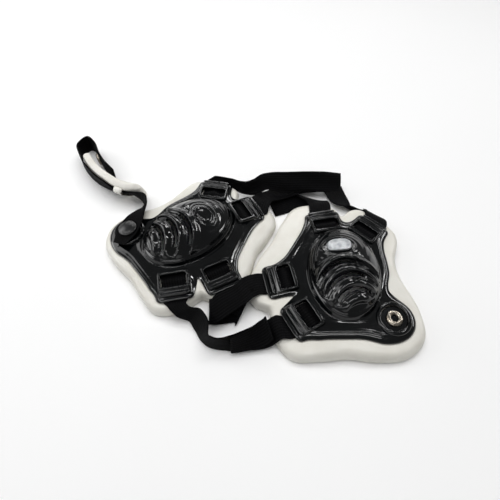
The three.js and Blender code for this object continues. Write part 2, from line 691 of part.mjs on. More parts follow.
// Frame of a strap at share t of its rows: centre, direction, width and face.
function strapPath(rows) {
  const line = new THREE.CatmullRomCurve3(rows.map((r) => new THREE.Vector3(r.x, r.y, r.z)));
  const percent = (r) => 100 * (r.pinch ?? 1);
  const roll = new THREE.CatmullRomCurve3(rows.map((r) => new THREE.Vector3(r.turn, r.lean, percent(r))));
  return (t) => {
    const { x: turn, y: lean, z: left } = roll.getPoint(t);
    const level = Math.cos(lean * DEG);
    const width = new THREE.Vector3(
      Math.cos(turn * DEG) * level,
      Math.sin(turn * DEG) * level,
      Math.sin(lean * DEG),
    );
    const ahead = line.getTangent(t);
    const face = ahead.clone().cross(width);
    const skew = face.length();
    face.normalize();
    width.multiplyScalar(left / 100 / Math.max(skew, 0.6));
    return { centre: line.getPoint(t), ahead, width, face };
  };
}

function ribbon(path, size) {
  const { wide, thick, steps, from = 0, to = 1, shift = 0, rise = 0, taper = 1 } = size;
  const strip = new THREE.BoxGeometry(1, 1, 1, size.across ?? 1, 1, steps);
  return moved(strip, (across, up, along) => {
    const share = along + 0.5;
    const tip = share < 0.01 || share > 0.99 ? taper : 1;
    const at = path(from + (to - from) * share);
    const p = at.centre.clone();
    p.addScaledVector(at.width, across * wide * tip + rise);
    p.addScaledVector(at.face, up * thick * tip + shift);
    return [p.x, p.y, p.z];
  });
}

function webbing(rows) {
  return ribbon(strapPath(rows), { ...WEB, steps: (rows.length - 1) * WEB.steps });
}

const napeRows = strapRows({ guard: "left", lobe: "nape" }, NAPE_RUN, { guard: "right", lobe: "nape" });
const backRows = strapRows({ guard: "left", lobe: "back" }, BACK_RUN, { guard: "right", lobe: "back" });
const crownLeftRows = strapRows({ guard: "left", lobe: "crown" }, CROWN_LEFT_RUN, null);
const crownRightRows = strapRows({ guard: "right", lobe: "crown" }, CROWN_RIGHT_RUN, null);
const browLeftRows = strapRows({ guard: "left", lobe: "brow" }, BROW_LEFT_RUN, null);
const browRightRows = strapRows({ guard: "right", lobe: "brow" }, BROW_RIGHT_RUN, null);
const chinRows = freeRows(CHIN_RUN);
const chinPath = strapPath(chinRows);

function napeTail() {
  const { fromRow, toRow, thick, gap, rise } = NAPE_TAIL;
  const spans = napeRows.length - 1;
  const shift = WEB.thick / 2 + gap + thick / 2;
  const stretch = { from: fromRow / spans, to: toRow / spans, steps: (toRow - fromRow) * WEB.steps };
  return ribbon(strapPath(napeRows), { ...stretch, wide: WEB.wide, thick, shift, rise });
}

// Foam strip along the inner face of the chin strap, with a keeper loop round the strap.
function chinPadGeometry() {
  const { wide, thick, gap, rise, from, to, steps } = CHIN_PAD;
  const shift = -(WEB.thick / 2 + gap + thick / 2);
  const strip = ribbon(chinPath, { wide, thick, steps, from, to, shift, rise, taper: CHIN_PAD.round });
  const depth = WEB.thick + 2 * (KEEPER.slack + KEEPER.wall);
  const { from: k0, to: k1 } = KEEPER;
  const block = { wide: KEEPER.wide, thick: depth, rise: KEEPER.rise, steps: KEEPER.steps, from: k0, to: k1 };
  const hollow = {
    wide: WEB.wide + 2 * KEEPER.slack,
    thick: WEB.thick + 2 * KEEPER.slack,
    steps: (chinRows.length - 1) * WEB.steps,
  };
  const loop = toSolid(ribbon(chinPath, block));
  const solid = toSolid(strip).add(loop).subtract(toSolid(ribbon(chinPath, hollow)));
  return toGeometry(solid);
}

// A turned piece on one face of the chin strap.
function onChin(profile, share, side) {
  const at = chinPath(share);
  const disc = turned(profile, WEB.thick / 2 + CLEARANCE);
  const up = new THREE.Vector3(0, 0, 1);
  const aim = new THREE.Quaternion().setFromUnitVectors(up, at.face.multiplyScalar(side));
  return disc.applyQuaternion(aim).translate(at.centre.x, at.centre.y, at.centre.z);
}

const LOOKS = {
  foam: { color: 0xe8e4d8, roughness: 0.55, metalness: 0 },
  shell: { color: 0x0b0b0e, roughness: 0.22, metalness: 0 },
  web: { color: 0x0e0e11, roughness: 0.9, metalness: 0 },
  nickel: { color: 0xbfbab0, roughness: 0.25, metalness: 1 },
  badge: { color: 0xc6c9cd, roughness: 0.3, metalness: 0.9 },
  cap: { color: 0x141416, roughness: 0.3, metalness: 0.2 },
  chinFoam: { color: 0xecebe6, roughness: 0.7, metalness: 0 },
};

const headgear = new THREE.Group();
headgear.name = "wrestling_headgear";

function addPiece(name, geometry, look) {
  const whole = closed(geometry);
  whole.computeVertexNormals();
  const mesh = new THREE.Mesh(whole, new THREE.MeshStandardMaterial(LOOKS[look]));
  mesh.name = name;
  headgear.add(mesh);
}

for (const [side, guard] of Object.entries(GUARDS)) {
  addPiece(`${side}_pad`, setDown(padGeometry(side), guard), "foam");
  addPiece(`${side}_shell`, setDown(shellGeometry(), guard), "shell");
  addPiece(`${side}_stud`, setDown(onStud(turned(STUD_PROFILE, 0)), guard), "nickel");
}
addPiece("right_badge", setDown(badgeGeometry(), GUARDS.right), "badge");
addPiece("nape_strap", webbing(napeRows), "web");
addPiece("nape_tail", napeTail(), "web");
addPiece("back_strap", webbing(backRows), "web");
addPiece("crown_strap_left", webbing(crownLeftRows), "web");
addPiece("crown_strap_right", webbing(crownRightRows), "web");
addPiece("brow_strap_left", webbing(browLeftRows), "web");
addPiece("brow_strap_right", webbing(browRightRows), "web");
addPiece("chin_strap", webbing(chinRows), "web");
addPiece("chin_pad", chinPadGeometry(), "chinFoam");
addPiece("chin_cap", onChin(CAP_PROFILE, CAP_AT, 1), "cap");
addPiece("chin_socket", onChin(SOCKET_PROFILE, SOCKET_AT, -1), "nickel");

export default headgear;
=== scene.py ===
import math

import bmesh
import bpy
from mathutils import Matrix, Vector, noise


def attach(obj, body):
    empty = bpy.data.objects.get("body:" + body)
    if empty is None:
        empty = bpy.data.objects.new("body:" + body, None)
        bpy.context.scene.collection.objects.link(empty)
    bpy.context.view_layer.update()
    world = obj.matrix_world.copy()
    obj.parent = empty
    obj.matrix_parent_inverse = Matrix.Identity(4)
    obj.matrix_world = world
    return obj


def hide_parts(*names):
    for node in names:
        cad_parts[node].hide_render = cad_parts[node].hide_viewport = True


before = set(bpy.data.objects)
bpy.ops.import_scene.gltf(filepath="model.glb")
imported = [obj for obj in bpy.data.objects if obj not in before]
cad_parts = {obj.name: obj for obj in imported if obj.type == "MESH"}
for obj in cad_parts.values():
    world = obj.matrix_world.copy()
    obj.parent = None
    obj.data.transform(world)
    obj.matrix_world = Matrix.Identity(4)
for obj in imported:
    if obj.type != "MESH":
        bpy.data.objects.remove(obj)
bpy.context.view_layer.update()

MM = 0.001
DEG = math.pi / 180

# Where the guards lie, how far each soft pad spreads, and where it gives (bearing, by how much).
CENTRE_SHIFT = Vector((18.8, -11.4, 0))
GUARDS = {
    "right": dict(
        x=73.5, y=-30, spin=0, flip=1, spread=1.035,
        give=[(22, -4.5), (146, 3.5), (201, 3.2)],
    ),
    "left": dict(x=-47.7, y=8.7, spin=-51.4, flip=-1, spread=0.965, give=[(70, -4.4)]),
}
GIVE_WIDE = 26

# Foam pad: its outline as (bearing, reach from the guard's centre), its fall towards the far
# ends, the press mark along the edge of the shell and the slow waves of its skin.
PAD_OUTLINE = [
    (0, 46), (18, 51), (36, 65), (50, 67), (60, 67), (69, 70.5), (76, 67.5), (83, 58), (89, 66),
    (97, 72), (115, 75.4), (130, 66), (148, 58.5), (168, 63.6), (188, 71.4), (200, 69.5),
    (209, 62), (222, 72), (238, 79), (252, 72), (268, 67), (286, 72), (302, 78), (316, 76),
    (330, 63), (345, 50),
]
PAD_THICK = 16
PAD_FALL = dict(drop=4, over=60)
EAR_HOLE = dict(y=-4, wide=26, long=38)
PAD_ROUND = dict(top=5.2, bottom=2.6)
PAD_PRESS = dict(dip=0.5, dip_from=-2, dip_to=1, swell=0.7, swell_at=4, wide=5)
PAD_WAVE = dict(high=0.35, size=34, most=0.2)
PAD_STEPS = dict(around=200, corner=7, top=26)

# Moulded shell: a flange with four strap lobes and a stud lobe, hems between them, and the dome.
CLEARANCE = 0.3
PLATE_THICK = 2.6
FLANGE = dict(wide=35, long=45)
DOME = dict(y=-4, wide=29, long=42, high=20, power=2.2, shoulder=0.75)
LOBES = {
    "nape": dict(x=-31, y=-40, axis=209),
    "back": dict(x=-46, y=-8, axis=192),
    "crown": dict(x=-9, y=44.5, axis=100),
    "brow": dict(x=23, y=37.5, axis=46),
}
LOBE = dict(wide=15, inner=-18, end=16, corner=4, blend=9)
STUD = dict(x=33, y=-43, lobe=16.5, blend=16)
HEMS = [
    dict(start=(20, -49), end=(-22, -49), radius=9),
    dict(start=(27.5, 35), end=(25.5, 0), radius=8.6),
    dict(start=(-20, 40), end=(-40, 5), radius=8),
]
SHELL_STEPS = dict(around=270, dome=108, plate=34)
OUTLINE_WALK = dict(steps=720, farthest=95.0, steepest=2.0, close=0.02, stride=0.6)
LIP = dict(wide=3.2, drop=1.3, thinned=0.45)
BEAD = dict(at=5.2, wide=1.1, high=0.45, fade_from=0.5, fade_to=3)

# Relief of the dome: ridges placed in shares of its radius or of the badge's oval, the louvred
# ribs with their vents, and the badge.
RELIEF_REACH = 1.1
RIM_LINES = [
    dict(rho=0.955, wide=0.024, high=0.6),
    dict(rho=0.87, wide=0.032, high=0.5),
]
BADGE_ARCS = [
    dict(out=1.4, wide=0.13, high=0.22),
    dict(out=1.78, wide=0.13, high=0.25),
    dict(out=2.16, wide=0.13, high=0.25),
]
ARC_FADE = dict(rib_from=-0.9, rib_to=-0.35, rim_from=0.72, rim_to=0.82)
BADGE_OVAL = dict(wide=12, long=9.2)
BADGE_RIDGES = [
    dict(out=1, wide=0.1, high=0.85),
    dict(out=0.62, wide=0.12, high=0.75),
]
RIB = dict(
    count=4, x=-3, first=-4, pitch=10, half=24, bow=9.7, march=0.5,
    high=2.4, within=0.93, fade=0.14,
)
RIB_SLOPE = dict(lead=-0.6, crest=0.06, fall=0.2, trough=0.42, sink=0.25, level=0.6)
RIB_LINE = dict(at=0.5, wide=0.06, high=0.3)
VENT = dict(ribs=(0, 1, 2), left=-0.9, right=0.3, top=0.2, bottom=0.4, inset=0.1)
BADGE = dict(x=-5.2, y=8.6, turn=-4, wide=9, long=6.2, square=0.7, lift=0.45, steps=96)

# Raised frames round the strap windows, with the bar across each strap tunnel's mouth.
FRAME = dict(wide=13.2, inner=-9.4, outer=14.4, corner=3.5, high=5.6, foot=0.8, slope=0.26)
FRAME_SECTION = dict(around=112, section=44, square=0.7)
FRAME_GROOVE = dict(at=9.4, wide=1.5, deep=2.2)
WINDOW = dict(wide=10.1, long=5, corner=1.5, margin=0.7)
TUNNEL = dict(wide=10.4, start=-8.6, end=19, skin=0.2)
END_BAR = dict(at=15.2, wide=12.0, thick=1.4, high=3.6, square=8, steps=28, around=16)

# Turned pieces: (radius, height) of each corner of the profile; the badge's radius is a share.
BOSS_PROFILE = [
    (9.2, -0.9), (13.6, -0.9), (13.4, 0.8), (12.9, 1.7), (12.0, 2.2), (11.0, 2.1), (10.2, 1.5),
    (9.7, 0.4),
]
STUD_PROFILE = [
    (2.75, 0.25), (6.2, 0.25), (6.35, 0.7), (6.2, 1.3), (5.6, 2.0), (4.7, 2.4), (3.8, 2.4),
    (3.2, 2.1), (2.85, 1.6),
]
CAP_PROFILE = [
    (0, 0), (7.3, 0), (7.6, 0.4), (7.5, 0.95), (6.7, 1.35), (6.2, 1.4), (5.6, 1.75),
    (4.0, 2.45), (2.0, 2.75), (0, 2.8),
]
SOCKET_PROFILE = [
    (0, 0), (5.6, 0), (5.85, 0.3), (5.8, 1.0), (5.2, 1.7), (4.4, 2.0), (3.4, 2.0), (2.9, 1.7),
    (2.6, 0.9), (0, 0.8),
]
BADGE_PROFILE = [
    (0, -0.3), (0.97, -0.3), (1.0, 0.1), (1.0, 1.0), (0.97, 1.5), (0.9, 1.65), (0.83, 1.5),
    (0.79, 0.75), (0.5, 0.78), (0, 0.8),
]

# Webbing: its size, its cupped and creased section, its cut ends and the brow strap's slack.
WEB = dict(wide=19, thick=1.6, per_row=14, around=28, cup=0.35, crease=1.3)
WEB_EDGE = dict(across=7.0, up=2.6)
CUP_LEVEL = 0.4
CREASE = dict(across=4, along=0.09)
CUT_END = 0.5
BROW_SLACK = 0.9
# Pinch is weighed up to the size of the angles that it is smoothed with, and a width that leans
# along the line is drawn out to make up for it, down to this share.
PINCH_WEIGHT = 100
LEAST_SQUARE = 0.6

# Straps: first their run inside a lobe, from the middle of its window and up from the pad, then
# rows of centre line, bearing of the width, its lean out of level and, where the webbing bunches
# in a tight turn, the share of its width that is left.
LOBE_RUN = [
    dict(along=-7.4, up=0.95),
    dict(along=-4.7, up=1),
    dict(along=-0.4, up=2.8),
    dict(along=3.2, up=1.2),
    dict(along=8, up=0.95),
    dict(along=16, up=0.95),
]
COLUMNS = ("x", "y", "z", "turn", "lean", "pinch")
NAPE_RUN = [
    (-55.4, -60.4, 13, 11, 7, 0.7),
    (-50.4, -65, 12.5, 15, 28, 0.66),
    (-41.4, -67.7, 10.8, 19, 48, 0.85),
    (-36.2, -75.7, 10.3, -4, 52, 1),
    (-33.2, -85.4, 10.3, -28, 66, 1),
    (-25.8, -89.8, 10.3, 30, 86, 1),
    (-14.7, -89.2, 8.8, 90, 71, 0.87),
    (-4.5, -86.6, 8.1, 92, 56, 0.92),
    (6, -83.2, 6.4, 98, 34, 1),
    (14, -80.8, 7.2, 104, 12, 1),
    (21, -78.4, 12.8, 111, 0, 1),
]
BACK_RUN = [
    (-14.5, -53, 12.6, 36, 4, 1),
    (-7.5, -58, 11.2, 55, 24, 1),
    (-4.6, -59.6, 9.4, 60, 28, 1),
    (-8, -60.4, 7.3, 68, 31, 1),
    (-18, -62, 7, 96, 32, 1),
    (-27, -63.4, 7, 92, 28, 1),
    (-30.6, -63.6, 8.9, 90, 25, 1),
    (-28, -64, 10.9, 94, 23, 1),
    (-19.8, -59.8, 14.2, 116, 12, 1),
    (-9.6, -53.8, 15.6, 120, 4, 0.93),
    (-1.5, -45.8, 14.8, 116, 0, 1),
    (5.5, -41.8, 13.2, 106, 0, 1),
]
CROWN_LEFT_RUN = [
    (8.8, 42.4, 13, 144, 4, 1),
    (13.4, 50.6, 10.2, 148, 2, 0.85),
    (21.8, 57.8, 5.3, 134, 0, 0.85),
    (32, 64.4, 4.8, 114, 2, 1),
    (46, 69.4, 5.6, 98, 0, 1),
    (62, 71.4, 5.6, 92, 0, 1),
]
CROWN_RIGHT_RUN = [
    (61.8, 39, 12.9, 190, 0, 1),
    (61, 46, 9.6, 186, 0, 1),
    (59.6, 52.2, 4.9, 172, 0, 1),
    (56.2, 56, 2.5, 155, 0, 1),
    (51.6, 56.2, 1.1, 138, 0, 1),
    (41, 53, 1.1, 114, 0, 1),
    (20, 45.4, 1.1, 108, 0, 1),
]
BROW_LEFT_RUN = [
    (-29.6, 67.8, 12.6, 166, 2, 0.9),
    (-26.5, 69.7, 10.9, 150, 20, 0.62),
    (-21, 69.6, 10.5, 126, 52, 0.55),
    (-15.4, 67.8, 10.8, 104, 68, 0.6),
    (-9.6, 64.8, 10.6, 92, 76, 0.7),
    (-3, 63, 10.8, 88, 76, 0.75),
    (4, 63.2, 11.8, 88, 62, 0.78),
    (15, 66.4, 15.2, 90, 48, 0.8),
    (30, 67.2, 13.4, 90, 40, 1),
    (50, 67.6, 13.4, 90, 38, 1),
    (68, 67.6, 13.4, 90, 38, 1),
    (84, 67.6, 13.4, 90, 38, 0.85),
]
BROW_RIGHT_RUN = [
    (109.3, 25, 12.9, 141, 0, 1),
    (109.3, 30.8, 10.4, 147, 4, 0.95),
    (107.3, 33.6, 6.3, 150, 40, 0.62),
    (102.7, 37.1, 4.4, 156, 74, 0.34),
    (97.9, 40, 3.4, 163, 88, 0.3),
    (93, 41.9, 4.4, 178, 72, 0.38),
    (88.6, 43.4, 5.2, 194, 46, 0.5),
    (85.6, 48, 4.2, 200, 20, 0.8),
    (82.6, 55, 2.3, 200, 8, 0.95),
    (80, 64, 1.5, 197, 3, 0.95),
    (78, 71, 1.2, 195, 0, 1),
]
CHIN_RUN = [
    (-107, -7, 18.8, 160, -7, 0.62),
    (-101.9, 7.7, 19.4, 160, -7, 1),
    (-97.8, 19, 20, 160, -10, 0.85),
    (-94.9, 29, 18, 158, -34, 0.66),
    (-93.2, 37.6, 15.2, 166, -60, 0.75),
    (-95, 46, 12.2, 200, -84, 1),
    (-102, 52, 10.4, 230, -112, 1),
    (-111, 56.5, 10.4, 239, -132, 1),
    (-122, 60.6, 10.4, 240, -124, 1),
    (-133, 66.4, 10, 237, -108, 1),
    (-144, 74.6, 9.8, 230, -100, 1),
    (-154.6, 86, 9.8, 220, -94, 1),
    (-163.4, 100, 9.8, 208, -90, 1),
    (-168, 113, 9.8, 190, -90, 1),
    (-161, 123.6, 9.8, 110, -90, 1),
    (-152.6, 116, 9.8, 40, -90, 1),
    (-146.4, 103, 9.8, 28, -90, 1),
    (-138, 90, 9.8, 30, -90, 1),
    (-127, 77.6, 9.8, 36, -90, 1),
]

# Doubled-back end of the nape strap, in rows of it, and what the chin strap carries, in shares.
NAPE_TAIL = dict(from_row=12, to_row=15.5, thick=1.5, gap=2.1, rise=1.8, steps=40)
CHIN_PAD = dict(start=0.315, end=0.66, wide=20.4, thick=8, gap=0.6, rise=-0.9)
CHIN_PAD_STEPS = dict(along=150, around=36)
FOAM_EDGE = dict(across=5.0, up=3.2)
FOAM_END = dict(over=5, tip=0.72)
KEEPER = dict(start=0.392, end=0.43, wide=23, rise=-1.9, wall=1.9, slack=0.5, taper=0.12)
KEEPER_STEPS = dict(along=14, around=48)
CAP_AT = 1 / (len(CHIN_RUN) - 1)
SOCKET_AT = 0.893

# Vertices closer than a weld become one. A sliver is the least edge that a face keeps, and a
# nudge the least step along a curve.
WELD = 1e-3
BAND_WELD = 2e-3
SLIVER = 1e-5
NUDGE = 1e-4


def bell(off, wide):
    """1 in the middle and smoothly down to nothing on both sides."""
    return math.exp(-((off / wide) ** 2))


def squared_off(value, power):
    """A sine or cosine drawn out, so that a circle becomes a rounded square."""
    return math.copysign(abs(value) ** power, value)


def smooth_min(a, b, blend):
    h = max(blend - abs(a - b), 0) / blend
    return min(a, b) - h * h * blend / 4


def smooth_step(low, high, value):
    s = min(max((value - low) / (high - low), 0), 1)
    return s * s * (3 - 2 * s)


# Shapes of the guard.
def pad_reach(bearing):
    """Reach of the moulded outline: a smooth closed curve through its rows."""
    turn = bearing % 360
    count = len(PAD_OUTLINE)
    i = max(k for k in range(count) if PAD_OUTLINE[k][0] <= turn)

    def row(k):
        laps, k = divmod(k, count)
        at, reach = PAD_OUTLINE[k]
        return at + 360 * laps, reach

    (a_at, a), (b_at, b), (c_at, c), (d_at, d) = (row(i + k) for k in (-1, 0, 1, 2))
    span = c_at - b_at
    s = (turn - b_at) / span
    slope_b = (c - a) / (c_at - a_at) * span
    slope_c = (d - b) / (d_at - b_at) * span
    ends = (2 * s**3 - 3 * s**2 + 1) * b + (3 * s**2 - 2 * s**3) * c
    return ends + (s**3 - 2 * s**2 + s) * slope_b + (s**3 - s**2) * slope_c


def pad_edge(guard, bearing):
    """Reach of a pad as it lies: the moulded outline, spread, with the local give of the foam."""
    reach = pad_reach(bearing) * guard["spread"]
    for at, by in guard["give"]:
        off = (bearing - at + 180) % 360 - 180
        reach += by * bell(off, GIVE_WIDE)
    return reach


def pad_top(x, y):
    return PAD_THICK - PAD_FALL["drop"] * (x * x + y * y) / PAD_FALL["over"] ** 2


def shell_under(x, y):
    return pad_top(x, y) + CLEARANCE


def dome_rho(x, y):
    return math.hypot(x / DOME["wide"], (y - DOME["y"]) / DOME["long"])


def dome_rise(x, y):
    rho = dome_rho(x, y)
    return 0 if rho >= 1 else DOME["high"] * (1 - rho ** DOME["power"]) ** DOME["shoulder"]


def shell_top(x, y):
    return shell_under(x, y) + PLATE_THICK + dome_rise(x, y)


def lobe_place(lobe, x, y):
    """Distance along and across a strap lobe, from the middle of its window."""
    a = lobe["axis"] * DEG
    dx, dy = x - lobe["x"], y - lobe["y"]
    return dx * math.cos(a) + dy * math.sin(a), -dx * math.sin(a) + dy * math.cos(a)


def lobe_point(lobe, along, across):
    a = lobe["axis"] * DEG
    x = lobe["x"] + along * math.cos(a) - across * math.sin(a)
    return x, lobe["y"] + along * math.sin(a) + across * math.cos(a)


def shell_edge(x, y):
    """Distance from the outline of the shell, negative inside."""
    mean = (FLANGE["wide"] + FLANGE["long"]) / 2
    d = (math.hypot(x / FLANGE["wide"], y / FLANGE["long"]) - 1) * mean
    for lobe in LOBES.values():
        along, across = lobe_place(lobe, x, y)
        middle, half = (LOBE["inner"] + LOBE["end"]) / 2, (LOBE["end"] - LOBE["inner"]) / 2
        qu = abs(along - middle) - half + LOBE["corner"]
        qv = abs(across) - LOBE["wide"] + LOBE["corner"]
        box = math.hypot(max(qu, 0), max(qv, 0)) + min(max(qu, qv), 0) - LOBE["corner"]
        d = smooth_min(d, box, LOBE["blend"])
    for hem in HEMS:
        (x0, y0), (x1, y1) = hem["start"], hem["end"]
        run = ((x - x0) * (x1 - x0) + (y - y0) * (y1 - y0)) / ((x1 - x0) ** 2 + (y1 - y0) ** 2)
        share = min(max(run, 0), 1)
        off = math.hypot(x - x0 - share * (x1 - x0), y - y0 - share * (y1 - y0))
        d = smooth_min(d, off - hem["radius"], LOBE["blend"])
    return smooth_min(d, math.hypot(x - STUD["x"], y - STUD["y"]) - STUD["lobe"], STUD["blend"])


def shell_outline(count):
    """The outline walked round at even steps, as (x, y, bearing)."""
    fine, steepest = OUTLINE_WALK["steps"], OUTLINE_WALK["steepest"]
    close, stride = OUTLINE_WALK["close"], OUTLINE_WALK["stride"]
    reach = []
    for i in range(fine):
        a = 2 * math.pi * i / fine
        r = OUTLINE_WALK["farthest"]
        d = shell_edge(r * math.cos(a), r * math.sin(a))
        while d > close:
            r -= max(close, stride * d)
            d = shell_edge(r * math.cos(a), r * math.sin(a))
        reach.append(r)
    for i in range(2 * fine):
        reach[i % fine] = max(reach[i % fine], reach[(i - 1) % fine] - steepest)
    for i in range(2 * fine - 1, -1, -1):
        reach[i % fine] = max(reach[i % fine], reach[(i + 1) % fine] - steepest)

    def spot(i):
        a = 2 * math.pi * i / fine
        return reach[i % fine] * math.cos(a), reach[i % fine] * math.sin(a), a

    walked = [0.0]
    for i in range(fine):
        p, q = spot(i), spot(i + 1)
        walked.append(walked[-1] + math.hypot(q[0] - p[0], q[1] - p[1]))
    points, i = [], 0
    for k in range(count):
        goal = walked[-1] * k / count
        while walked[i + 1] < goal:
            i += 1
        s = (goal - walked[i]) / (walked[i + 1] - walked[i])
        points.append(tuple(p + (q - p) * s for p, q in zip(spot(i), spot(i + 1))))
    return points


def rib_phase(x, y):
    """Ribs counted down the dome from the first crest, and the share s along the arch."""
    s = (x - RIB["x"] + RIB["march"] * (y - RIB["first"])) / RIB["half"]
    return (RIB["first"] - RIB["bow"] * s * s - y) / RIB["pitch"], s


def rib_relief(x, y):
    """Height of the louvred ribs: under each crest a steep fall to a trough, then a long rise."""
    phase = rib_phase(x, y)[0]
    lead, trough, sink = RIB_SLOPE["lead"], RIB_SLOPE["trough"], RIB_SLOPE["sink"]
    if phase < lead or phase > RIB["count"]:
        return 0.0
    part, depth = phase % 1, 1 + sink
    line = RIB_LINE["high"] * bell(part - RIB_LINE["at"], RIB_LINE["wide"])
    if phase < 0:
        shape = smooth_step(lead, 0, phase)
    elif part < trough:
        shape = 1 - depth * smooth_step(RIB_SLOPE["crest"], RIB_SLOPE["fall"], part)
    elif phase > RIB["count"] - 1:
        shape = -sink * (1 - smooth_step(trough, RIB_SLOPE["level"], part))
    else:
        shape = -sink + depth * smooth_step(trough, 1, part) + line
    fade = 1 - smooth_step(RIB["within"] - RIB["fade"], RIB["within"], dome_rho(x, y))
    return RIB["high"] * shape * fade


def in_vent(x, y):
    """Whether a point lies in a slot, in the fall under one of the vented ribs."""
    phase, s = rib_phase(x, y)
    if phase <= 0 or int(phase) not in VENT["ribs"] or not VENT["left"] < s < VENT["right"]:
        return False
    within = dome_rho(x, y) < RIB["within"] - VENT["inset"]
    return within and VENT["top"] < phase % 1 < VENT["bottom"]


def badge_place(x, y):
    """How far out from the middle of the badge's oval a point is, 1 on the oval."""
    a = BADGE["turn"] * DEG
    dx, dy = x - BADGE["x"], y - BADGE["y"]
    u, v = dx * math.cos(a) + dy * math.sin(a), -dx * math.sin(a) + dy * math.cos(a)
    return math.hypot(u / BADGE_OVAL["wide"], v / BADGE_OVAL["long"])


def ridge(rows, key, value):
    """Summed height of rounded ridges, each at its own place along value."""
    return sum(r["high"] * bell(value - r[key], r["wide"]) for r in rows)


def dome_relief(x, y, badged):
    """Oval ridges where a badge sits, arcs nested round them, lines round the rim, louvred ribs."""
    rho = dome_rho(x, y)
    if rho > RELIEF_REACH:
        return 0.0
    out = badge_place(x, y)
    oval = ridge(BADGE_RIDGES[:1] if badged else BADGE_RIDGES, "out", out)
    off_ribs = 1 - smooth_step(ARC_FADE["rib_from"], ARC_FADE["rib_to"], rib_phase(x, y)[0])
    off_rim = 1 - smooth_step(ARC_FADE["rim_from"], ARC_FADE["rim_to"], rho)
    arcs = ridge(BADGE_ARCS, "out", out) * off_ribs * off_rim
    return oval + arcs + ridge(RIM_LINES, "rho", rho) + rib_relief(x, y)


def shell_surface(x, y, badged):
    """Outer face of the shell: its relief, the rolled lip and the bead inside the lip."""
    d = shell_edge(x, y)
    lip = -LIP["drop"] * max(0, 1 + d / LIP["wide"]) ** 2 if d > -LIP["wide"] else 0
    bead = BEAD["high"] * bell(d + BEAD["at"], BEAD["wide"])
    flat = 1 - smooth_step(BEAD["fade_from"], BEAD["fade_to"], dome_rise(x, y))
    return shell_top(x, y) + dome_relief(x, y, badged) + lip + bead * flat


# Mesh helpers.
def sheet_grid(bm, columns, rows):
    """A square grid, each vertex with its shares (u, v) of the two sides."""
    made = bmesh.ops.create_grid(bm, x_segments=columns, y_segments=rows, size=0.5)
    return [(vert, vert.co.x + 0.5, vert.co.y + 0.5) for vert in made["verts"]]


def close_seams(bm, weld=WELD):
    bmesh.ops.remove_doubles(bm, verts=bm.verts, dist=weld)
    bmesh.ops.dissolve_degenerate(bm, edges=bm.edges, dist=SLIVER)
    bmesh.ops.recalc_face_normals(bm, faces=bm.faces)


def set_down(bm, guard):
    """Moves a guard's piece from its own place to where the guard lies."""
    flip = Matrix.Diagonal((guard["flip"], 1, 1, 1))
    turn = Matrix.Rotation(guard["spin"] * DEG, 4, "Z")
    place = Matrix.Translation(Vector((guard["x"], guard["y"], 0)) + CENTRE_SHIFT)
    bmesh.ops.transform(bm, matrix=place @ turn @ flip, verts=bm.verts)
    if guard["flip"] < 0:
        bmesh.ops.reverse_faces(bm, faces=bm.faces)


def piece(name, bm, material, node):
    """Turns a bmesh in millimetres into the finished object that stands for a node."""
    bmesh.ops.scale(bm, vec=(MM, MM, MM), verts=bm.verts)
    for face in bm.faces:
        face.smooth = True
    mesh = bpy.data.meshes.new(name)
    bm.to_mesh(mesh)
    bm.free()
    mesh.materials.append(material)
    made = bpy.data.objects.new(name, mesh)
    bpy.context.scene.collection.objects.link(made)
    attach(made, "root")
    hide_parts(node)
    return made


def turned(bm, profile, steps=64):
    """Spins a profile about the z axis and returns the new vertices; off the axis it is a ring."""
    before = set(bm.verts)
    verts = [bm.verts.new((radius, 0, height)) for radius, height in profile]
    edges = [bm.edges.new(pair) for pair in zip(verts, verts[1:])]
    if profile[0][0] > 0:
        edges.append(bm.edges.new((verts[-1], verts[0])))
    bmesh.ops.spin(
        bm, geom=verts + edges, cent=(0, 0, 0), axis=(0, 0, 1),
        angle=2 * math.pi, steps=steps, use_merge=True, use_duplicate=False,
    )
    made = [v for v in bm.verts if v not in before]
    bmesh.ops.remove_doubles(bm, verts=made, dist=WELD)
    return [v for v in bm.verts if v not in before]


# Straps: a smooth line through the rows, and the frame of the webbing along it.
def curve_point(points, t):
    """Centripetal spline through the points at share t of its spans."""
    last = len(points) - 1
    at = min(max(t, 0), 1) * last
    i = min(int(at), last - 1)
    s = at - i
    p1, p2 = points[i], points[i + 1]
    p0 = points[i - 1] if i > 0 else 2 * p1 - p2
    p3 = points[i + 2] if i + 2 <= last else 2 * p2 - p1
    d0, d1, d2 = (math.sqrt((q - p).length) for p, q in ((p0, p1), (p1, p2), (p2, p3)))
    d1 = d1 if d1 > NUDGE else 1.0
    d0 = d0 if d0 > NUDGE else d1
    d2 = d2 if d2 > NUDGE else d1
    m1 = ((p1 - p0) / d0 - (p2 - p0) / (d0 + d1) + (p2 - p1) / d1) * d1
    m2 = ((p2 - p1) / d1 - (p3 - p1) / (d1 + d2) + (p3 - p2) / d2) * d1
    bend = -3 * p1 + 3 * p2 - 2 * m1 - m2
    return p1 + m1 * s + bend * s**2 + (2 * p1 - 2 * p2 + m1 + m2) * s**3


def to_world(guard, x, y):
    """Where a point of a guard lies."""
    a = guard["spin"] * DEG
    fx = x * guard["flip"]
    wx = fx * math.cos(a) - y * math.sin(a) + guard["x"] + CENTRE_SHIFT.x
    return wx, fx * math.sin(a) + y * math.cos(a) + guard["y"] + CENTRE_SHIFT.y


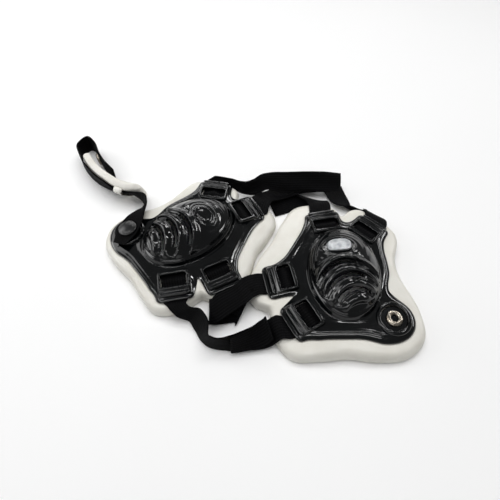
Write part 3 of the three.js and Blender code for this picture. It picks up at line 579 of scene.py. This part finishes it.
def lobe_rows(guard, lobe, near_turn):
    """Rows of a strap inside a lobe, from the inner end outwards."""
    ox, oy = to_world(guard, 0, 0)
    a = lobe["axis"] * DEG
    wx, wy = to_world(guard, -math.sin(a), math.cos(a))
    bearing = math.atan2(wy - oy, wx - ox) / DEG
    half_turns = round((near_turn - bearing) / 180)
    side = 1 if half_turns % 2 == 0 else -1
    rows = []
    for step in LOBE_RUN:
        x, y = lobe_point(lobe, step["along"], 0)
        sx, sy = lobe_point(lobe, step["along"], 1)
        slope = shell_under(sx, sy) - shell_under(x, y)
        px, py = to_world(guard, x, y)
        lean = side * math.atan(slope) / DEG
        z = shell_under(x, y) + step["up"]
        rows.append(dict(x=px, y=py, z=z, turn=bearing + 180 * half_turns, lean=lean, pinch=1))
    return rows


def free_rows(run):
    """Rows of a strap between the lobes, or of one that no lobe holds."""
    rows = [dict(zip(COLUMNS, row)) for row in run]
    return [dict(r, x=r["x"] + CENTRE_SHIFT.x, y=r["y"] + CENTRE_SHIFT.y) for r in rows]


def strap_rows(run, start=None, end=None):
    """All rows of a strap; start and end name the guard and lobe that hold its ends."""
    free = free_rows(run)
    head = lobe_rows(GUARDS[start[0]], LOBES[start[1]], free[0]["turn"]) if start else []
    tail = lobe_rows(GUARDS[end[0]], LOBES[end[1]], free[-1]["turn"]) if end else []
    return head + free + tail[::-1]


class StrapPath:
    """Centre, width and face of a strap at share t of its rows."""

    def __init__(self, rows):
        self.line = [Vector((r["x"], r["y"], r["z"])) for r in rows]
        self.roll = [Vector((r["turn"], r["lean"], PINCH_WEIGHT * r["pinch"])) for r in rows]
        self.spans = len(rows) - 1

    def at(self, t):
        turn, lean, left = curve_point(self.roll, t)
        turn, lean = turn * DEG, lean * DEG
        level = math.cos(lean)
        width = Vector((math.cos(turn) * level, math.sin(turn) * level, math.sin(lean)))
        ahead = curve_point(self.line, t + NUDGE) - curve_point(self.line, t - NUDGE)
        face = ahead.normalized().cross(width)
        width *= left / PINCH_WEIGHT / max(face.length, LEAST_SQUARE)
        return curve_point(self.line, t), width, face.normalized()


def rounded_section(share, roundness):
    """Point round a flat section with rounded edges, across and up from -1 to 1."""
    a = 2 * math.pi * share
    across = squared_off(math.cos(a), 2 / roundness["across"])
    return across, squared_off(math.sin(a), 2 / roundness["up"])


def ribbon(bm, path, size, along, around, edge, ends, uv=None):
    """A closed band along a strap path; ends gives how its last millimetres close.

    Its section is cupped a little, and creased where it is slack or bunched."""
    start, end = size.get("start", 0), size.get("end", 1)
    frames = [path.at(start + (end - start) * i / along) for i in range(along + 1)]
    run = [0.0]
    for before, after in zip(frames, frames[1:]):
        run.append(run[-1] + (after[0] - before[0]).length)
    marks = {}
    for vert, u, v in sheet_grid(bm, along, around):
        i = round(u * along)
        centre, width, face = frames[i]
        across, up = rounded_section(v, edge)
        close_wide, close_thick = ends(min(run[i], run[-1] - run[i]))
        bunched = max(size.get("slack", 0), 1 - width.length)
        wrinkle = math.sin(CREASE["across"] * across + CREASE["along"] * run[i])
        cup = size.get("cup", 0) * (across * across - CUP_LEVEL)
        cup += size.get("crease", 0) * bunched * wrinkle
        reach = across * size["wide"] / 2 * close_wide + size.get("rise", 0)
        lift = up * size["thick"] / 2 * close_thick + size.get("shift", 0) + cup
        vert.co = centre + width * reach + face * lift
        marks[vert] = (run[i], across * size["wide"] / 2)
    if uv:
        layer = bm.loops.layers.uv.new(uv)
        for f in bm.faces:
            for loop in f.loops:
                loop[layer].uv = marks[loop.vert]
    close_seams(bm, BAND_WELD)


def cut_end(left):
    """Heat-cut webbing: full width, thin only in its last half millimetre."""
    return 1, math.sqrt(min(1, max(left / CUT_END, 0)))


def foam_end(left):
    """Moulded foam: rounded in over its last millimetres."""
    s = min(1, left / FOAM_END["over"])
    return FOAM_END["tip"] + (1 - FOAM_END["tip"]) * s, math.sqrt(max(1 - (1 - s) ** 2, 0))


# Colours and materials.
def hex_colour(code):
    """sRGB hex to linear RGBA."""
    parts = [int(code[i : i + 2], 16) / 255 for i in (1, 3, 5)]
    linear = [p / 12.92 if p <= 0.04045 else ((p + 0.055) / 1.055) ** 2.4 for p in parts]
    return (*linear, 1.0)


def add_node(tree, kind, inputs=(), stops=(), **settings):
    """Adds a node with its settings; an input is a value or the socket that feeds it.

    Stops are the places and hex colours of a colour ramp."""
    made = tree.nodes.new(kind)
    for key, value in settings.items():
        setattr(made, key, value)
    for i, (at, code) in enumerate(stops):
        made.color_ramp.elements[i].position = at
        made.color_ramp.elements[i].color = hex_colour(code)
    for key, value in dict(inputs).items():
        if isinstance(value, bpy.types.NodeSocket):
            tree.links.new(value, made.inputs[key])
        else:
            made.inputs[key].default_value = value
    return made


def new_material(name):
    material = bpy.data.materials.new(name)
    material.use_nodes = True
    tree = material.node_tree
    tree.nodes.clear()
    return material, tree, add_node(tree, "ShaderNodeTexCoord").outputs["Object"]


def per_metre(size_mm):
    """Texture scale for a feature of this size in millimetres."""
    return 1000 / size_mm


def dipped_foam(name, clean, shaded, rough):
    """Closed-cell foam dipped in soft vinyl: a pale satin skin, faintly mottled and pebbled.

    Blotches are about 22 mm, pebbles 1.6 mm and waves 12 mm across."""
    material, tree, place = new_material(name)
    blotch, pebble, wave = (
        add_node(
            tree, "ShaderNodeTexNoise",
            {"Vector": place, "Scale": per_metre(size), "Detail": detail},
        ).outputs["Fac"]
        for size, detail in ((22, 4), (1.6, 3), (12, 2))
    )
    skin = add_node(tree, "ShaderNodeValToRGB", {"Fac": blotch}, [(0.32, shaded), (0.62, clean)])
    sheen = add_node(
        tree, "ShaderNodeMapRange",
        {
            "Value": wave, "From Min": 0.3, "From Max": 0.7,
            "To Min": rough[0], "To Max": rough[1],
        },
    )
    grain = add_node(
        tree, "ShaderNodeBump", {"Height": pebble, "Strength": 0.35, "Distance": 0.25 * MM},
    )
    soft = add_node(
        tree, "ShaderNodeBump",
        {
            "Height": wave, "Strength": 0.4, "Distance": 0.6 * MM,
            "Normal": grain.outputs["Normal"],
        },
    )
    surface = add_node(
        tree, "ShaderNodeBsdfPrincipled",
        {
            "Base Color": skin.outputs["Color"], "Roughness": sheen.outputs["Result"], "IOR": 1.5,
            "Normal": soft.outputs["Normal"], "Coat Weight": 0.12, "Coat Roughness": 0.3,
        },
    )
    add_node(tree, "ShaderNodeOutputMaterial", {"Surface": surface.outputs["BSDF"]})
    return material


def moulded_gloss(name):
    """Injection-moulded ABS: deep gloss black with faint flow waves, smears and fine scuffs.

    Flow waves are about 9 mm, smears 16 mm, and scuffs 14 mm long and 1 mm wide."""
    material, tree, place = new_material(name)
    stretched = add_node(
        tree, "ShaderNodeMapping", {"Vector": place, "Rotation": (0, 0, 0.6), "Scale": (1, 14, 4)},
    )
    flow, smear, scuff = (
        add_node(
            tree, "ShaderNodeTexNoise",
            {"Vector": spot, "Scale": per_metre(size), "Detail": detail},
        ).outputs["Fac"]
        for spot, size, detail in (
            (place, 9, 3), (place, 16, 5), (stretched.outputs["Vector"], 14, 4),
        )
    )
    tint = add_node(
        tree, "ShaderNodeValToRGB", {"Fac": smear}, [(0.35, "#020304"), (0.7, "#06080A")],
    )
    handled = add_node(
        tree, "ShaderNodeMapRange",
        {"Value": smear, "From Min": 0.35, "From Max": 0.7, "To Min": 0.07, "To Max": 0.16},
    )
    worn = add_node(
        tree, "ShaderNodeMapRange",
        {"Value": scuff, "From Min": 0.6, "From Max": 0.75, "To Min": 0, "To Max": 0.18},
    )
    rough = add_node(
        tree, "ShaderNodeMath",
        {0: handled.outputs["Result"], 1: worn.outputs["Result"]}, operation="ADD",
    )
    bump = add_node(
        tree, "ShaderNodeBump", {"Height": flow, "Strength": 0.3, "Distance": 0.5 * MM},
    )
    surface = add_node(
        tree, "ShaderNodeBsdfPrincipled",
        {
            "Base Color": tint.outputs["Color"], "Roughness": rough.outputs["Value"], "IOR": 1.53,
            "Normal": bump.outputs["Normal"], "Specular IOR Level": 0.4,
        },
    )
    add_node(tree, "ShaderNodeOutputMaterial", {"Surface": surface.outputs["BSDF"]})
    return material


# Real cords are about 1 mm apart; they are drawn at twice that so that they show.
WARP_PITCH = 2.1
WEFT_PITCH = 1.5
WEFT_SHARE = 0.45


def woven_webbing(name):
    """Flat-woven nylon webbing: matte black, warp cords along it crossed by finer weft."""
    material, tree, place = new_material(name)
    weave = add_node(tree, "ShaderNodeUVMap", uv_map="weave").outputs["UV"]
    axes = add_node(tree, "ShaderNodeSeparateXYZ", {"Vector": weave})
    cords, picks, half_cords = (
        add_node(
            tree, "ShaderNodeMath", {0: axes.outputs[axis], 1: 2 * math.pi / pitch},
            operation="MULTIPLY",
        ).outputs["Value"]
        for axis, pitch in (("Y", WARP_PITCH), ("X", WEFT_PITCH), ("Y", 2 * WARP_PITCH))
    )
    cord, pick, shift = (
        add_node(tree, "ShaderNodeMath", {0: angle}, operation="COSINE").outputs["Value"]
        for angle in (cords, picks, half_cords)
    )
    swap = add_node(tree, "ShaderNodeMath", {0: shift}, operation="SIGN").outputs["Value"]
    over = add_node(tree, "ShaderNodeMath", {0: pick, 1: swap}, operation="MULTIPLY")
    height = add_node(
        tree, "ShaderNodeMath",
        {0: over.outputs["Value"], 1: WEFT_SHARE, 2: cord}, operation="MULTIPLY_ADD",
    )
    level = add_node(
        tree, "ShaderNodeMapRange",
        {
            "Value": height.outputs["Value"],
            "From Min": -1 - WEFT_SHARE, "From Max": 1 + WEFT_SHARE, "To Min": 0, "To Max": 1,
        },
    ).outputs["Result"]
    lint = add_node(
        tree, "ShaderNodeTexNoise", {"Vector": place, "Scale": per_metre(7), "Detail": 6},
    ).outputs["Fac"]
    # The webbing's colour follows the weave's height. It is darker where the weave sinks between
    # the cords and lighter on their crowns: painted shade in the weave's hollows.
    yarn_with_painted_shade, dust = (
        add_node(tree, "ShaderNodeValToRGB", {"Fac": share}, stops).outputs["Color"]
        for share, stops in (
            (level, [(0.15, "#010102"), (0.85, "#050507")]),
            (lint, [(0.35, "#B4B4B8"), (0.65, "#FFFFFF")]),
        )
    )
    cloth = add_node(
        tree, "ShaderNodeMix", {"Factor": 1.0, "A": yarn_with_painted_shade, "B": dust},
        data_type="RGBA", blend_type="MULTIPLY",
    )
    rough = add_node(
        tree, "ShaderNodeMapRange",
        {"Value": level, "From Min": 0, "From Max": 1, "To Min": 0.92, "To Max": 0.6},
    )
    bump = add_node(
        tree, "ShaderNodeBump", {"Height": level, "Strength": 0.5, "Distance": 0.3 * MM},
    )
    surface = add_node(
        tree, "ShaderNodeBsdfPrincipled",
        {
            "Base Color": cloth.outputs["Result"], "Roughness": rough.outputs["Result"],
            "IOR": 1.5, "Normal": bump.outputs["Normal"], "Specular IOR Level": 0.07,
            "Sheen Weight": 0.02, "Sheen Roughness": 0.4, "Sheen Tint": hex_colour("#8E9098"),
        },
    )
    add_node(tree, "ShaderNodeOutputMaterial", {"Surface": surface.outputs["BSDF"]})
    return material


def plated_metal(name, bright, dull, rough, grain_mm, stretch):
    """Plated or bare metal: clear reflections, clouded by handling in 4 mm spots and fine lines."""
    material, tree, place = new_material(name)
    lines = add_node(tree, "ShaderNodeMapping", {"Vector": place, "Scale": stretch})
    grain, cloud = (
        add_node(
            tree, "ShaderNodeTexNoise",
            {"Vector": spot, "Scale": per_metre(size), "Detail": detail},
        ).outputs["Fac"]
        for spot, size, detail in ((lines.outputs["Vector"], grain_mm, 5), (place, 4, 3))
    )
    colour = add_node(tree, "ShaderNodeValToRGB", {"Fac": cloud}, [(0.35, dull), (0.6, bright)])
    brushed = add_node(
        tree, "ShaderNodeMapRange",
        {
            "Value": grain, "From Min": 0.3, "From Max": 0.7,
            "To Min": rough[0], "To Max": rough[1],
        },
    )
    bump = add_node(
        tree, "ShaderNodeBump", {"Height": grain, "Strength": 0.25, "Distance": 0.05 * MM},
    )
    surface = add_node(
        tree, "ShaderNodeBsdfPrincipled",
        {
            "Base Color": colour.outputs["Color"], "Metallic": 1.0,
            "Roughness": brushed.outputs["Result"], "Normal": bump.outputs["Normal"],
        },
    )
    add_node(tree, "ShaderNodeOutputMaterial", {"Surface": surface.outputs["BSDF"]})
    return material


def enamelled_cap(name):
    """Steel cap in black stoved enamel: smooth satin black, rubbed a little in 3 mm spots."""
    material, tree, place = new_material(name)
    rub = add_node(
        tree, "ShaderNodeTexNoise", {"Vector": place, "Scale": per_metre(3), "Detail": 5},
    ).outputs["Fac"]
    colour = add_node(
        tree, "ShaderNodeValToRGB", {"Fac": rub}, [(0.4, "#060607"), (0.75, "#0E0F11")],
    )
    rough = add_node(
        tree, "ShaderNodeMapRange",
        {"Value": rub, "From Min": 0.35, "From Max": 0.7, "To Min": 0.3, "To Max": 0.38},
    )
    surface = add_node(
        tree, "ShaderNodeBsdfPrincipled",
        {
            "Base Color": colour.outputs["Color"], "Roughness": rough.outputs["Result"],
            "IOR": 1.5, "Coat Weight": 0.1, "Coat Roughness": 0.2,
        },
    )
    add_node(tree, "ShaderNodeOutputMaterial", {"Surface": surface.outputs["BSDF"]})
    return material


def pale_sweep(name):
    """Matte paper sweep: near white with barely any tone, in clouds a third of a metre across."""
    material, tree, place = new_material(name)
    tone = add_node(tree, "ShaderNodeTexNoise", {"Vector": place, "Scale": 3, "Detail": 2})
    colour = add_node(
        tree, "ShaderNodeValToRGB", {"Fac": tone.outputs["Fac"]},
        [(0.3, "#FDFDFD"), (0.7, "#FFFFFF")],
    )
    surface = add_node(
        tree, "ShaderNodeBsdfPrincipled",
        {"Base Color": colour.outputs["Color"], "Roughness": 0.9, "Specular IOR Level": 0.1},
    )
    add_node(tree, "ShaderNodeOutputMaterial", {"Surface": surface.outputs["BSDF"]})
    return material


PAD_SKIN = dipped_foam("vinyl_dipped_foam_cream", "#E4E2DA", "#D9D6CC", (0.38, 0.55))
CHIN_SKIN = dipped_foam("vinyl_dipped_foam_white", "#EAE8E1", "#E0DDD4", (0.42, 0.6))
SHELL_GLOSS = moulded_gloss("abs_moulded_gloss_black")
WEBBING = woven_webbing("nylon_woven_webbing_black")
NICKEL = plated_metal("brass_nickel_plated", "#B9B2A6", "#948A7C", (0.2, 0.34), 0.8, (1, 1, 1))
BADGE_METAL = plated_metal(
    "aluminium_satin_badge", "#B6B8BA", "#94979A", (0.45, 0.58), 0.5, (1, 12, 1),
)
CAP_ENAMEL = enamelled_cap("steel_enamelled_black")


# Pads.
def pad_section():
    """Rows round the foam's section: (across, up, corner radius, swing)."""
    rows = []

    def corner(across, up, radius, first):
        for k in range(PAD_STEPS["corner"] + 1):
            rows.append((across, up, radius, (first + 90 * k / PAD_STEPS["corner"]) * DEG))

    corner(1, 0, PAD_ROUND["bottom"], -90)
    corner(1, 1, PAD_ROUND["top"], 0)
    for k in range(1, PAD_STEPS["top"]):
        rows.append((1 - k / PAD_STEPS["top"], 1, 0, 0))
    corner(0, 1, PAD_ROUND["top"], 90)
    corner(0, 0, PAD_ROUND["bottom"], 180)
    return rows


def foam_pad(side, guard):
    """Foam ring from the ear hole to the outline, flat below, rounded and pressed above."""
    rows = pad_section()
    around = PAD_STEPS["around"]
    bm = bmesh.new()
    for vert, u, v in sheet_grid(bm, around, len(rows)):
        across, up, radius, swing = rows[round(v * len(rows)) % len(rows)]
        bearing = 2 * math.pi * (round(u * around) % around) / around
        c, s = math.cos(bearing), math.sin(bearing)
        reach = pad_edge(guard, bearing / DEG)
        inner = Vector((EAR_HOLE["wide"] * c, EAR_HOLE["long"] * s + EAR_HOLE["y"]))
        outward = Vector((reach * c, reach * s)) - inner
        width = outward.length
        outward.normalize()
        inset = (radius or PAD_ROUND["top"]) * (1 - 2 * across)
        spot = inner + outward * (width * across + inset + radius * math.cos(swing))
        lift = radius * math.sin(swing)
        if up:
            d = shell_edge(spot.x, spot.y)
            press = PAD_PRESS["swell"] * bell(d - PAD_PRESS["swell_at"], PAD_PRESS["wide"])
            sunk = 1 - smooth_step(PAD_PRESS["dip_from"], PAD_PRESS["dip_to"], d)
            press -= PAD_PRESS["dip"] * sunk
            place = Vector((spot.x, spot.y, 0)) / PAD_WAVE["size"]
            ripple = PAD_WAVE["high"] * noise.noise(place + Vector((guard["x"], 0, 0)))
            z = pad_top(spot.x, spot.y) - radius + lift + press + min(ripple, PAD_WAVE["most"])
        else:
            z = radius + lift
        vert.co = (spot.x, spot.y, z)
    close_seams(bm)
    set_down(bm, guard)
    made = piece(f"{side}_foam_pad", bm, PAD_SKIN, f"{side}_pad")


# Shells.
def in_window(x, y):
    """Whether a point lies in one of the strap windows, or under the inner edge of its frame."""
    long, wide = WINDOW["long"] + WINDOW["margin"], WINDOW["wide"] + WINDOW["margin"]
    spots = (lobe_place(lobe, x, y) for lobe in LOBES.values())
    return any(abs(along) < long and abs(across) < wide for along, across in spots)


def wall_share(x, y):
    """Share of the shell's full thickness: thin over the strap tunnels and at the lip."""
    share = 1 - LIP["thinned"] * smooth_step(-LIP["wide"], 0, shell_edge(x, y))
    for lobe in LOBES.values():
        along, across = lobe_place(lobe, x, y)
        if TUNNEL["start"] < along < TUNNEL["end"] and abs(across) < TUNNEL["wide"]:
            share = TUNNEL["skin"]
    return share


def round_rect(share, wide, low, high, corner):
    """Point round a rounded rectangle: along from low to high, across from -wide to wide."""
    a = 2 * math.pi * share
    half = (high - low) / 2
    power = 1 / (1 + min(half, wide) / corner)
    along = (low + high) / 2 + half * squared_off(math.cos(a), power)
    return along, wide * squared_off(math.sin(a), power)


def add_frame(bm, lobe):
    """Raised frame round a strap window."""
    for vert, u, v in sheet_grid(bm, FRAME_SECTION["around"], FRAME_SECTION["section"]):
        a = 2 * math.pi * v
        out = (1 + squared_off(math.cos(a), FRAME_SECTION["square"])) / 2
        up = (1 + squared_off(math.sin(a), FRAME_SECTION["square"])) / 2
        ia, ic = round_rect(u, WINDOW["wide"], -WINDOW["long"], WINDOW["long"], WINDOW["corner"])
        oa, oc = round_rect(u, FRAME["wide"], FRAME["inner"], FRAME["outer"], FRAME["corner"])
        out *= 1 - FRAME["slope"] * up
        along = ia + (oa - ia) * out
        groove = FRAME_GROOVE["deep"] * bell(along - FRAME_GROOVE["at"], FRAME_GROOVE["wide"])
        x, y = lobe_point(lobe, along, ic + (oc - ic) * out)
        rise = FRAME["foot"] + (FRAME["high"] - FRAME["foot"] - groove) * up
        vert.co = (x, y, shell_under(x, y) + rise)


def add_end_bar(bm, lobe):
    """Rounded bar across the mouth of the strap tunnel."""
    middle = (END_BAR["high"] + PLATE_THICK) / 2
    for vert, u, v in sheet_grid(bm, END_BAR["steps"], END_BAR["around"]):
        share = 2 * u - 1
        a = 2 * math.pi * v
        close = math.sqrt(max(1 - abs(share) ** END_BAR["square"], 0))
        along = END_BAR["at"] + END_BAR["thick"] * math.cos(a) * close
        z = middle + (END_BAR["high"] - middle) * math.sin(a) * close
        x, y = lobe_point(lobe, along, END_BAR["wide"] * share)
        vert.co = (x, y, shell_under(x, y) + z)


def moulded_shell(side, guard):
    """Dome and flange as one skin with its windows and vents cut out, then given its wall."""
    around, dome, plate = SHELL_STEPS["around"], SHELL_STEPS["dome"], SHELL_STEPS["plate"]
    outline = shell_outline(around)
    bm = bmesh.new()
    thin = bm.verts.layers.deform.verify()
    for vert, u, v in sheet_grid(bm, around, dome + plate):
        spoke = round(u * around) % around
        ring = round(v * (dome + plate))
        px, py, bearing = outline[spoke]
        bearing = (bearing + 2 * math.pi * spoke / around) / 2
        x, y = DOME["wide"] * math.cos(bearing), DOME["long"] * math.sin(bearing)
        if ring <= dome:
            x, y = x * ring / dome, y * ring / dome + DOME["y"]
        else:
            out, y = (ring - dome) / plate, y + DOME["y"]
            x, y = x + (px - x) * out, y + (py - y) * out
        vert.co = (x, y, shell_surface(x, y, side == "right"))
        vert[thin][0] = wall_share(x, y)
    bmesh.ops.remove_doubles(bm, verts=bm.verts, dist=WELD)
    bmesh.ops.recalc_face_normals(bm, faces=bm.faces)
    if sum(f.normal.z for f in bm.faces) < 0:
        bmesh.ops.reverse_faces(bm, faces=bm.faces)
    middles = [(face, face.calc_center_median().xy) for face in bm.faces]
    cut = [face for face, spot in middles if in_window(*spot) or in_vent(*spot)]
    bmesh.ops.delete(bm, geom=cut, context="FACES")
    set_down(bm, guard)
    made = piece(f"{side}_ear_shell", bm, SHELL_GLOSS, f"{side}_shell")
    made.vertex_groups.new(name="wall")
    wall = made.modifiers.new("wall", "SOLIDIFY")
    wall.thickness = PLATE_THICK * MM
    wall.offset = -1
    wall.vertex_group = "wall"
    wall.thickness_vertex_group = 0.05


def add_at_stud(bm, profile):
    """A turned ring round the stud's middle, standing on the shell."""
    for vert in turned(bm, profile):
        x, y = vert.co.x + STUD["x"], vert.co.y + STUD["y"]
        vert.co = (x, y, vert.co.z + shell_top(x, y))
    bmesh.ops.recalc_face_normals(bm, faces=bm.faces)


def shell_frames(side, guard):
    """Strap frames, tunnel bars and the stud's boss, moulded in one with the shell."""
    bm = bmesh.new()
    for lobe in LOBES.values():
        add_frame(bm, lobe)
        add_end_bar(bm, lobe)
    close_seams(bm)
    add_at_stud(bm, BOSS_PROFILE)
    set_down(bm, guard)
    piece(f"{side}_shell_frames", bm, SHELL_GLOSS, f"{side}_shell")


def stud_ring(side, guard):
    bm = bmesh.new()
    add_at_stud(bm, STUD_PROFILE)
    set_down(bm, guard)
    piece(f"{side}_snap_stud", bm, NICKEL, f"{side}_stud")


def badge_plate(guard):
    """Bare oval plate with a raised rim, turned, then squared off and laid on the dome."""
    bm = bmesh.new()
    a = BADGE["turn"] * DEG
    for vert in turned(bm, BADGE_PROFILE, BADGE["steps"]):
        out, swing = math.hypot(vert.co.x, vert.co.y), math.atan2(vert.co.y, vert.co.x)
        u = out * BADGE["wide"] * squared_off(math.cos(swing), BADGE["square"])
        v = out * BADGE["long"] * squared_off(math.sin(swing), BADGE["square"])
        x = BADGE["x"] + u * math.cos(a) - v * math.sin(a)
        y = BADGE["y"] + u * math.sin(a) + v * math.cos(a)
        vert.co = (x, y, shell_top(x, y) + BADGE["lift"] + vert.co.z)
    bmesh.ops.recalc_face_normals(bm, faces=bm.faces)
    set_down(bm, guard)
    piece("right_oval_badge", bm, BADGE_METAL, "right_badge")


# Straps.
def webbing_strap(name, rows, node, slack=0):
    path = StrapPath(rows)
    bm = bmesh.new()
    size = dict(WEB, slack=slack)
    ribbon(bm, path, size, path.spans * WEB["per_row"], WEB["around"], WEB_EDGE, cut_end, "weave")
    piece(name, bm, WEBBING, node)


def nape_tail(rows):
    """The nape strap's end, doubled back over the strap."""
    path = StrapPath(rows)
    size = dict(
        wide=WEB["wide"], thick=NAPE_TAIL["thick"], cup=WEB["cup"], rise=NAPE_TAIL["rise"],
        shift=WEB["thick"] / 2 + NAPE_TAIL["gap"] + NAPE_TAIL["thick"] / 2,
        start=NAPE_TAIL["from_row"] / path.spans, end=NAPE_TAIL["to_row"] / path.spans,
    )
    bm = bmesh.new()
    ribbon(bm, path, size, NAPE_TAIL["steps"], WEB["around"], WEB_EDGE, cut_end, "weave")
    piece("nape_webbing_tail", bm, WEBBING, "nape_tail")


def chin_foam(path):
    """Foam strip on the inner face of the chin strap, with its keeper round the strap."""
    shift = -(WEB["thick"] / 2 + CHIN_PAD["gap"] + CHIN_PAD["thick"] / 2)
    bm = bmesh.new()
    steps = CHIN_PAD_STEPS
    size = dict(CHIN_PAD, shift=shift)
    ribbon(bm, path, size, steps["along"], steps["around"], FOAM_EDGE, foam_end)
    inner_across = WEB["wide"] / 2 + KEEPER["slack"]
    inner_up = WEB["thick"] / 2 + KEEPER["slack"]
    for vert, u, v in sheet_grid(bm, KEEPER_STEPS["around"], 2 * KEEPER_STEPS["along"]):
        side = v * 2
        outer = side <= 1
        share = side if outer else 2 - side
        t = KEEPER["start"] + (KEEPER["end"] - KEEPER["start"]) * share
        centre, width, face = path.at(t)
        across, up = rounded_section(u, FOAM_EDGE)
        if outer:
            swell = 1 - KEEPER["taper"] * (2 * share - 1) ** 4
            reach = across * KEEPER["wide"] / 2 * swell + KEEPER["rise"] / 2
            lift = up * (inner_up + KEEPER["wall"] * swell)
        else:
            reach, lift = across * inner_across, up * inner_up
        vert.co = centre + width * reach + face * lift
    close_seams(bm, BAND_WELD)
    made = piece("chin_foam_pad", bm, CHIN_SKIN, "chin_pad")


def on_chin(path, profile, share, side, name, material, node):
    """A turned half of the snap on one face of the chin strap."""
    centre, _, face = path.at(share)
    bm = bmesh.new()
    turned(bm, profile)
    bmesh.ops.translate(bm, vec=(0, 0, WEB["thick"] / 2 + CLEARANCE), verts=bm.verts)
    bmesh.ops.recalc_face_normals(bm, faces=bm.faces)
    aim = Vector((0, 0, 1)).rotation_difference(face * side).to_matrix().to_4x4()
    bmesh.ops.transform(bm, matrix=Matrix.Translation(centre) @ aim, verts=bm.verts)
    piece(name, bm, material, node)


for side, guard in GUARDS.items():
    foam_pad(side, guard)
    moulded_shell(side, guard)
    shell_frames(side, guard)
    stud_ring(side, guard)
badge_plate(GUARDS["right"])

NAPE_ROWS = strap_rows(NAPE_RUN, ("left", "nape"), ("right", "nape"))
webbing_strap("nape_webbing", NAPE_ROWS, "nape_strap")
nape_tail(NAPE_ROWS)
BACK_ROWS = strap_rows(BACK_RUN, ("left", "back"), ("right", "back"))
webbing_strap("back_webbing", BACK_ROWS, "back_strap")
for strap, side, run, slack in (
    ("crown", "left", CROWN_LEFT_RUN, 0),
    ("crown", "right", CROWN_RIGHT_RUN, 0),
    ("brow", "left", BROW_LEFT_RUN, BROW_SLACK),
    ("brow", "right", BROW_RIGHT_RUN, 0),
):
    rows = strap_rows(run, (side, strap))
    webbing_strap(f"{strap}_webbing_{side}", rows, f"{strap}_strap_{side}", slack)
CHIN_ROWS = free_rows(CHIN_RUN)
webbing_strap("chin_webbing", CHIN_ROWS, "chin_strap")
CHIN_PATH = StrapPath(CHIN_ROWS)
chin_foam(CHIN_PATH)
on_chin(CHIN_PATH, CAP_PROFILE, CAP_AT, 1, "chin_snap_cap", CAP_ENAMEL, "chin_cap")
on_chin(
    CHIN_PATH, SOCKET_PROFILE, SOCKET_AT, -1,
    "chin_snap_socket", NICKEL, "chin_socket",
)


# Camera, floor and light. Lamps are in metres and watts: one that isn't lit only shows as a
# reflection in the gloss, and one that isn't mirrored only lights.
CAMERA = dict(elevation=55, distance=380, lens=31.74, sensor=36)
FLOOR_SIZE = 6.0


def set_camera():
    data = bpy.data.cameras.new("camera")
    data.lens = CAMERA["lens"]
    data.sensor_width = CAMERA["sensor"]
    data.clip_start = 0.01
    camera = bpy.data.objects.new("camera", data)
    a = CAMERA["elevation"] * DEG
    reach = CAMERA["distance"] * MM
    camera.location = CENTRE_SHIFT * MM + Vector((0, -math.cos(a), math.sin(a))) * reach
    camera.rotation_euler = (math.pi / 2 - a, 0, 0)
    bpy.context.scene.collection.objects.link(camera)
    bpy.context.scene.camera = camera


def set_floor():
    bm = bmesh.new()
    bmesh.ops.create_grid(bm, x_segments=4, y_segments=4, size=FLOOR_SIZE / 2)
    mesh = bpy.data.meshes.new("floor")
    bm.to_mesh(mesh)
    bm.free()
    mesh.materials.append(pale_sweep("paper_sweep_white"))
    floor = bpy.data.objects.new("floor", mesh)
    bpy.context.scene.collection.objects.link(floor)


# Strength of the white room: what it gives as light, and how bright it is behind the floor.
ROOM = dict(light=0.2, seen=0.9)
LIGHTS = [
    dict(name="overhead", spot=(0.0, 0.2, 1.3), size=(1.4, 1.4), power=15, mirrored=False),
    dict(name="window", spot=(-0.75, 0.3, 0.5), size=(0.5, 0.5), power=2.2),
    dict(name="back_strip", spot=(0.0, 1.0, 0.38), size=(1.1, 0.05), power=3.2, lit=False),
    dict(name="front_strip", spot=(0.0, -0.25, 1.1), size=(0.9, 0.05), power=3.4, lit=False),
    dict(name="right_strip", spot=(0.8, 0.35, 0.5), size=(0.7, 0.05), power=3, lit=False),
    dict(name="left_strip", spot=(-0.7, -0.35, 0.9), size=(0.7, 0.04), power=2.6, lit=False),
    dict(name="left_panel", spot=(-1.0, -0.08, 0.26), size=(0.9, 0.24), power=3.6, lit=False),
    dict(name="front_panel", spot=(-0.25, -0.9, 0.4), size=(0.8, 0.12), power=1.2, lit=False),
    dict(name="top_panel", spot=(-0.26, -0.4, 0.86), size=(0.45, 0.25), power=0.45, lit=False),
    dict(name="key_lamp", spot=(0.1, 0.72, 0.52), size=(0.16, 0.16), power=1.2, lit=False),
    dict(name="lamp", spot=(0.42, 0.3, 0.75), size=(0.06, 0.06), power=0.5),
]


def set_lights():
    for row in LIGHTS:
        data = bpy.data.lights.new(row["name"], "AREA")
        data.shape = "RECTANGLE"
        data.size, data.size_y = row["size"]
        data.energy = row["power"]
        lamp = bpy.data.objects.new(row["name"], data)
        lamp.location = row["spot"]
        lamp.visible_glossy = row.get("mirrored", True)
        lamp.visible_diffuse = row.get("lit", True)
        lamp.rotation_euler = (-Vector(row["spot"])).to_track_quat("-Z", "Y").to_euler()
        bpy.context.scene.collection.objects.link(lamp)
    world = bpy.data.worlds.new("studio")
    world.use_nodes = True
    tree = world.node_tree
    seen = add_node(tree, "ShaderNodeLightPath").outputs["Is Camera Ray"]
    glow = add_node(
        tree, "ShaderNodeMapRange",
        {"Value": seen, "To Min": ROOM["light"], "To Max": ROOM["seen"]},
    )
    sky = tree.nodes["Background"]
    sky.inputs["Color"].default_value = (1, 1, 1, 1)
    tree.links.new(glow.outputs["Result"], sky.inputs["Strength"])
    bpy.context.scene.world = world
    bpy.context.scene.view_settings.view_transform = "Standard"


set_camera()
set_floor()
set_lights()
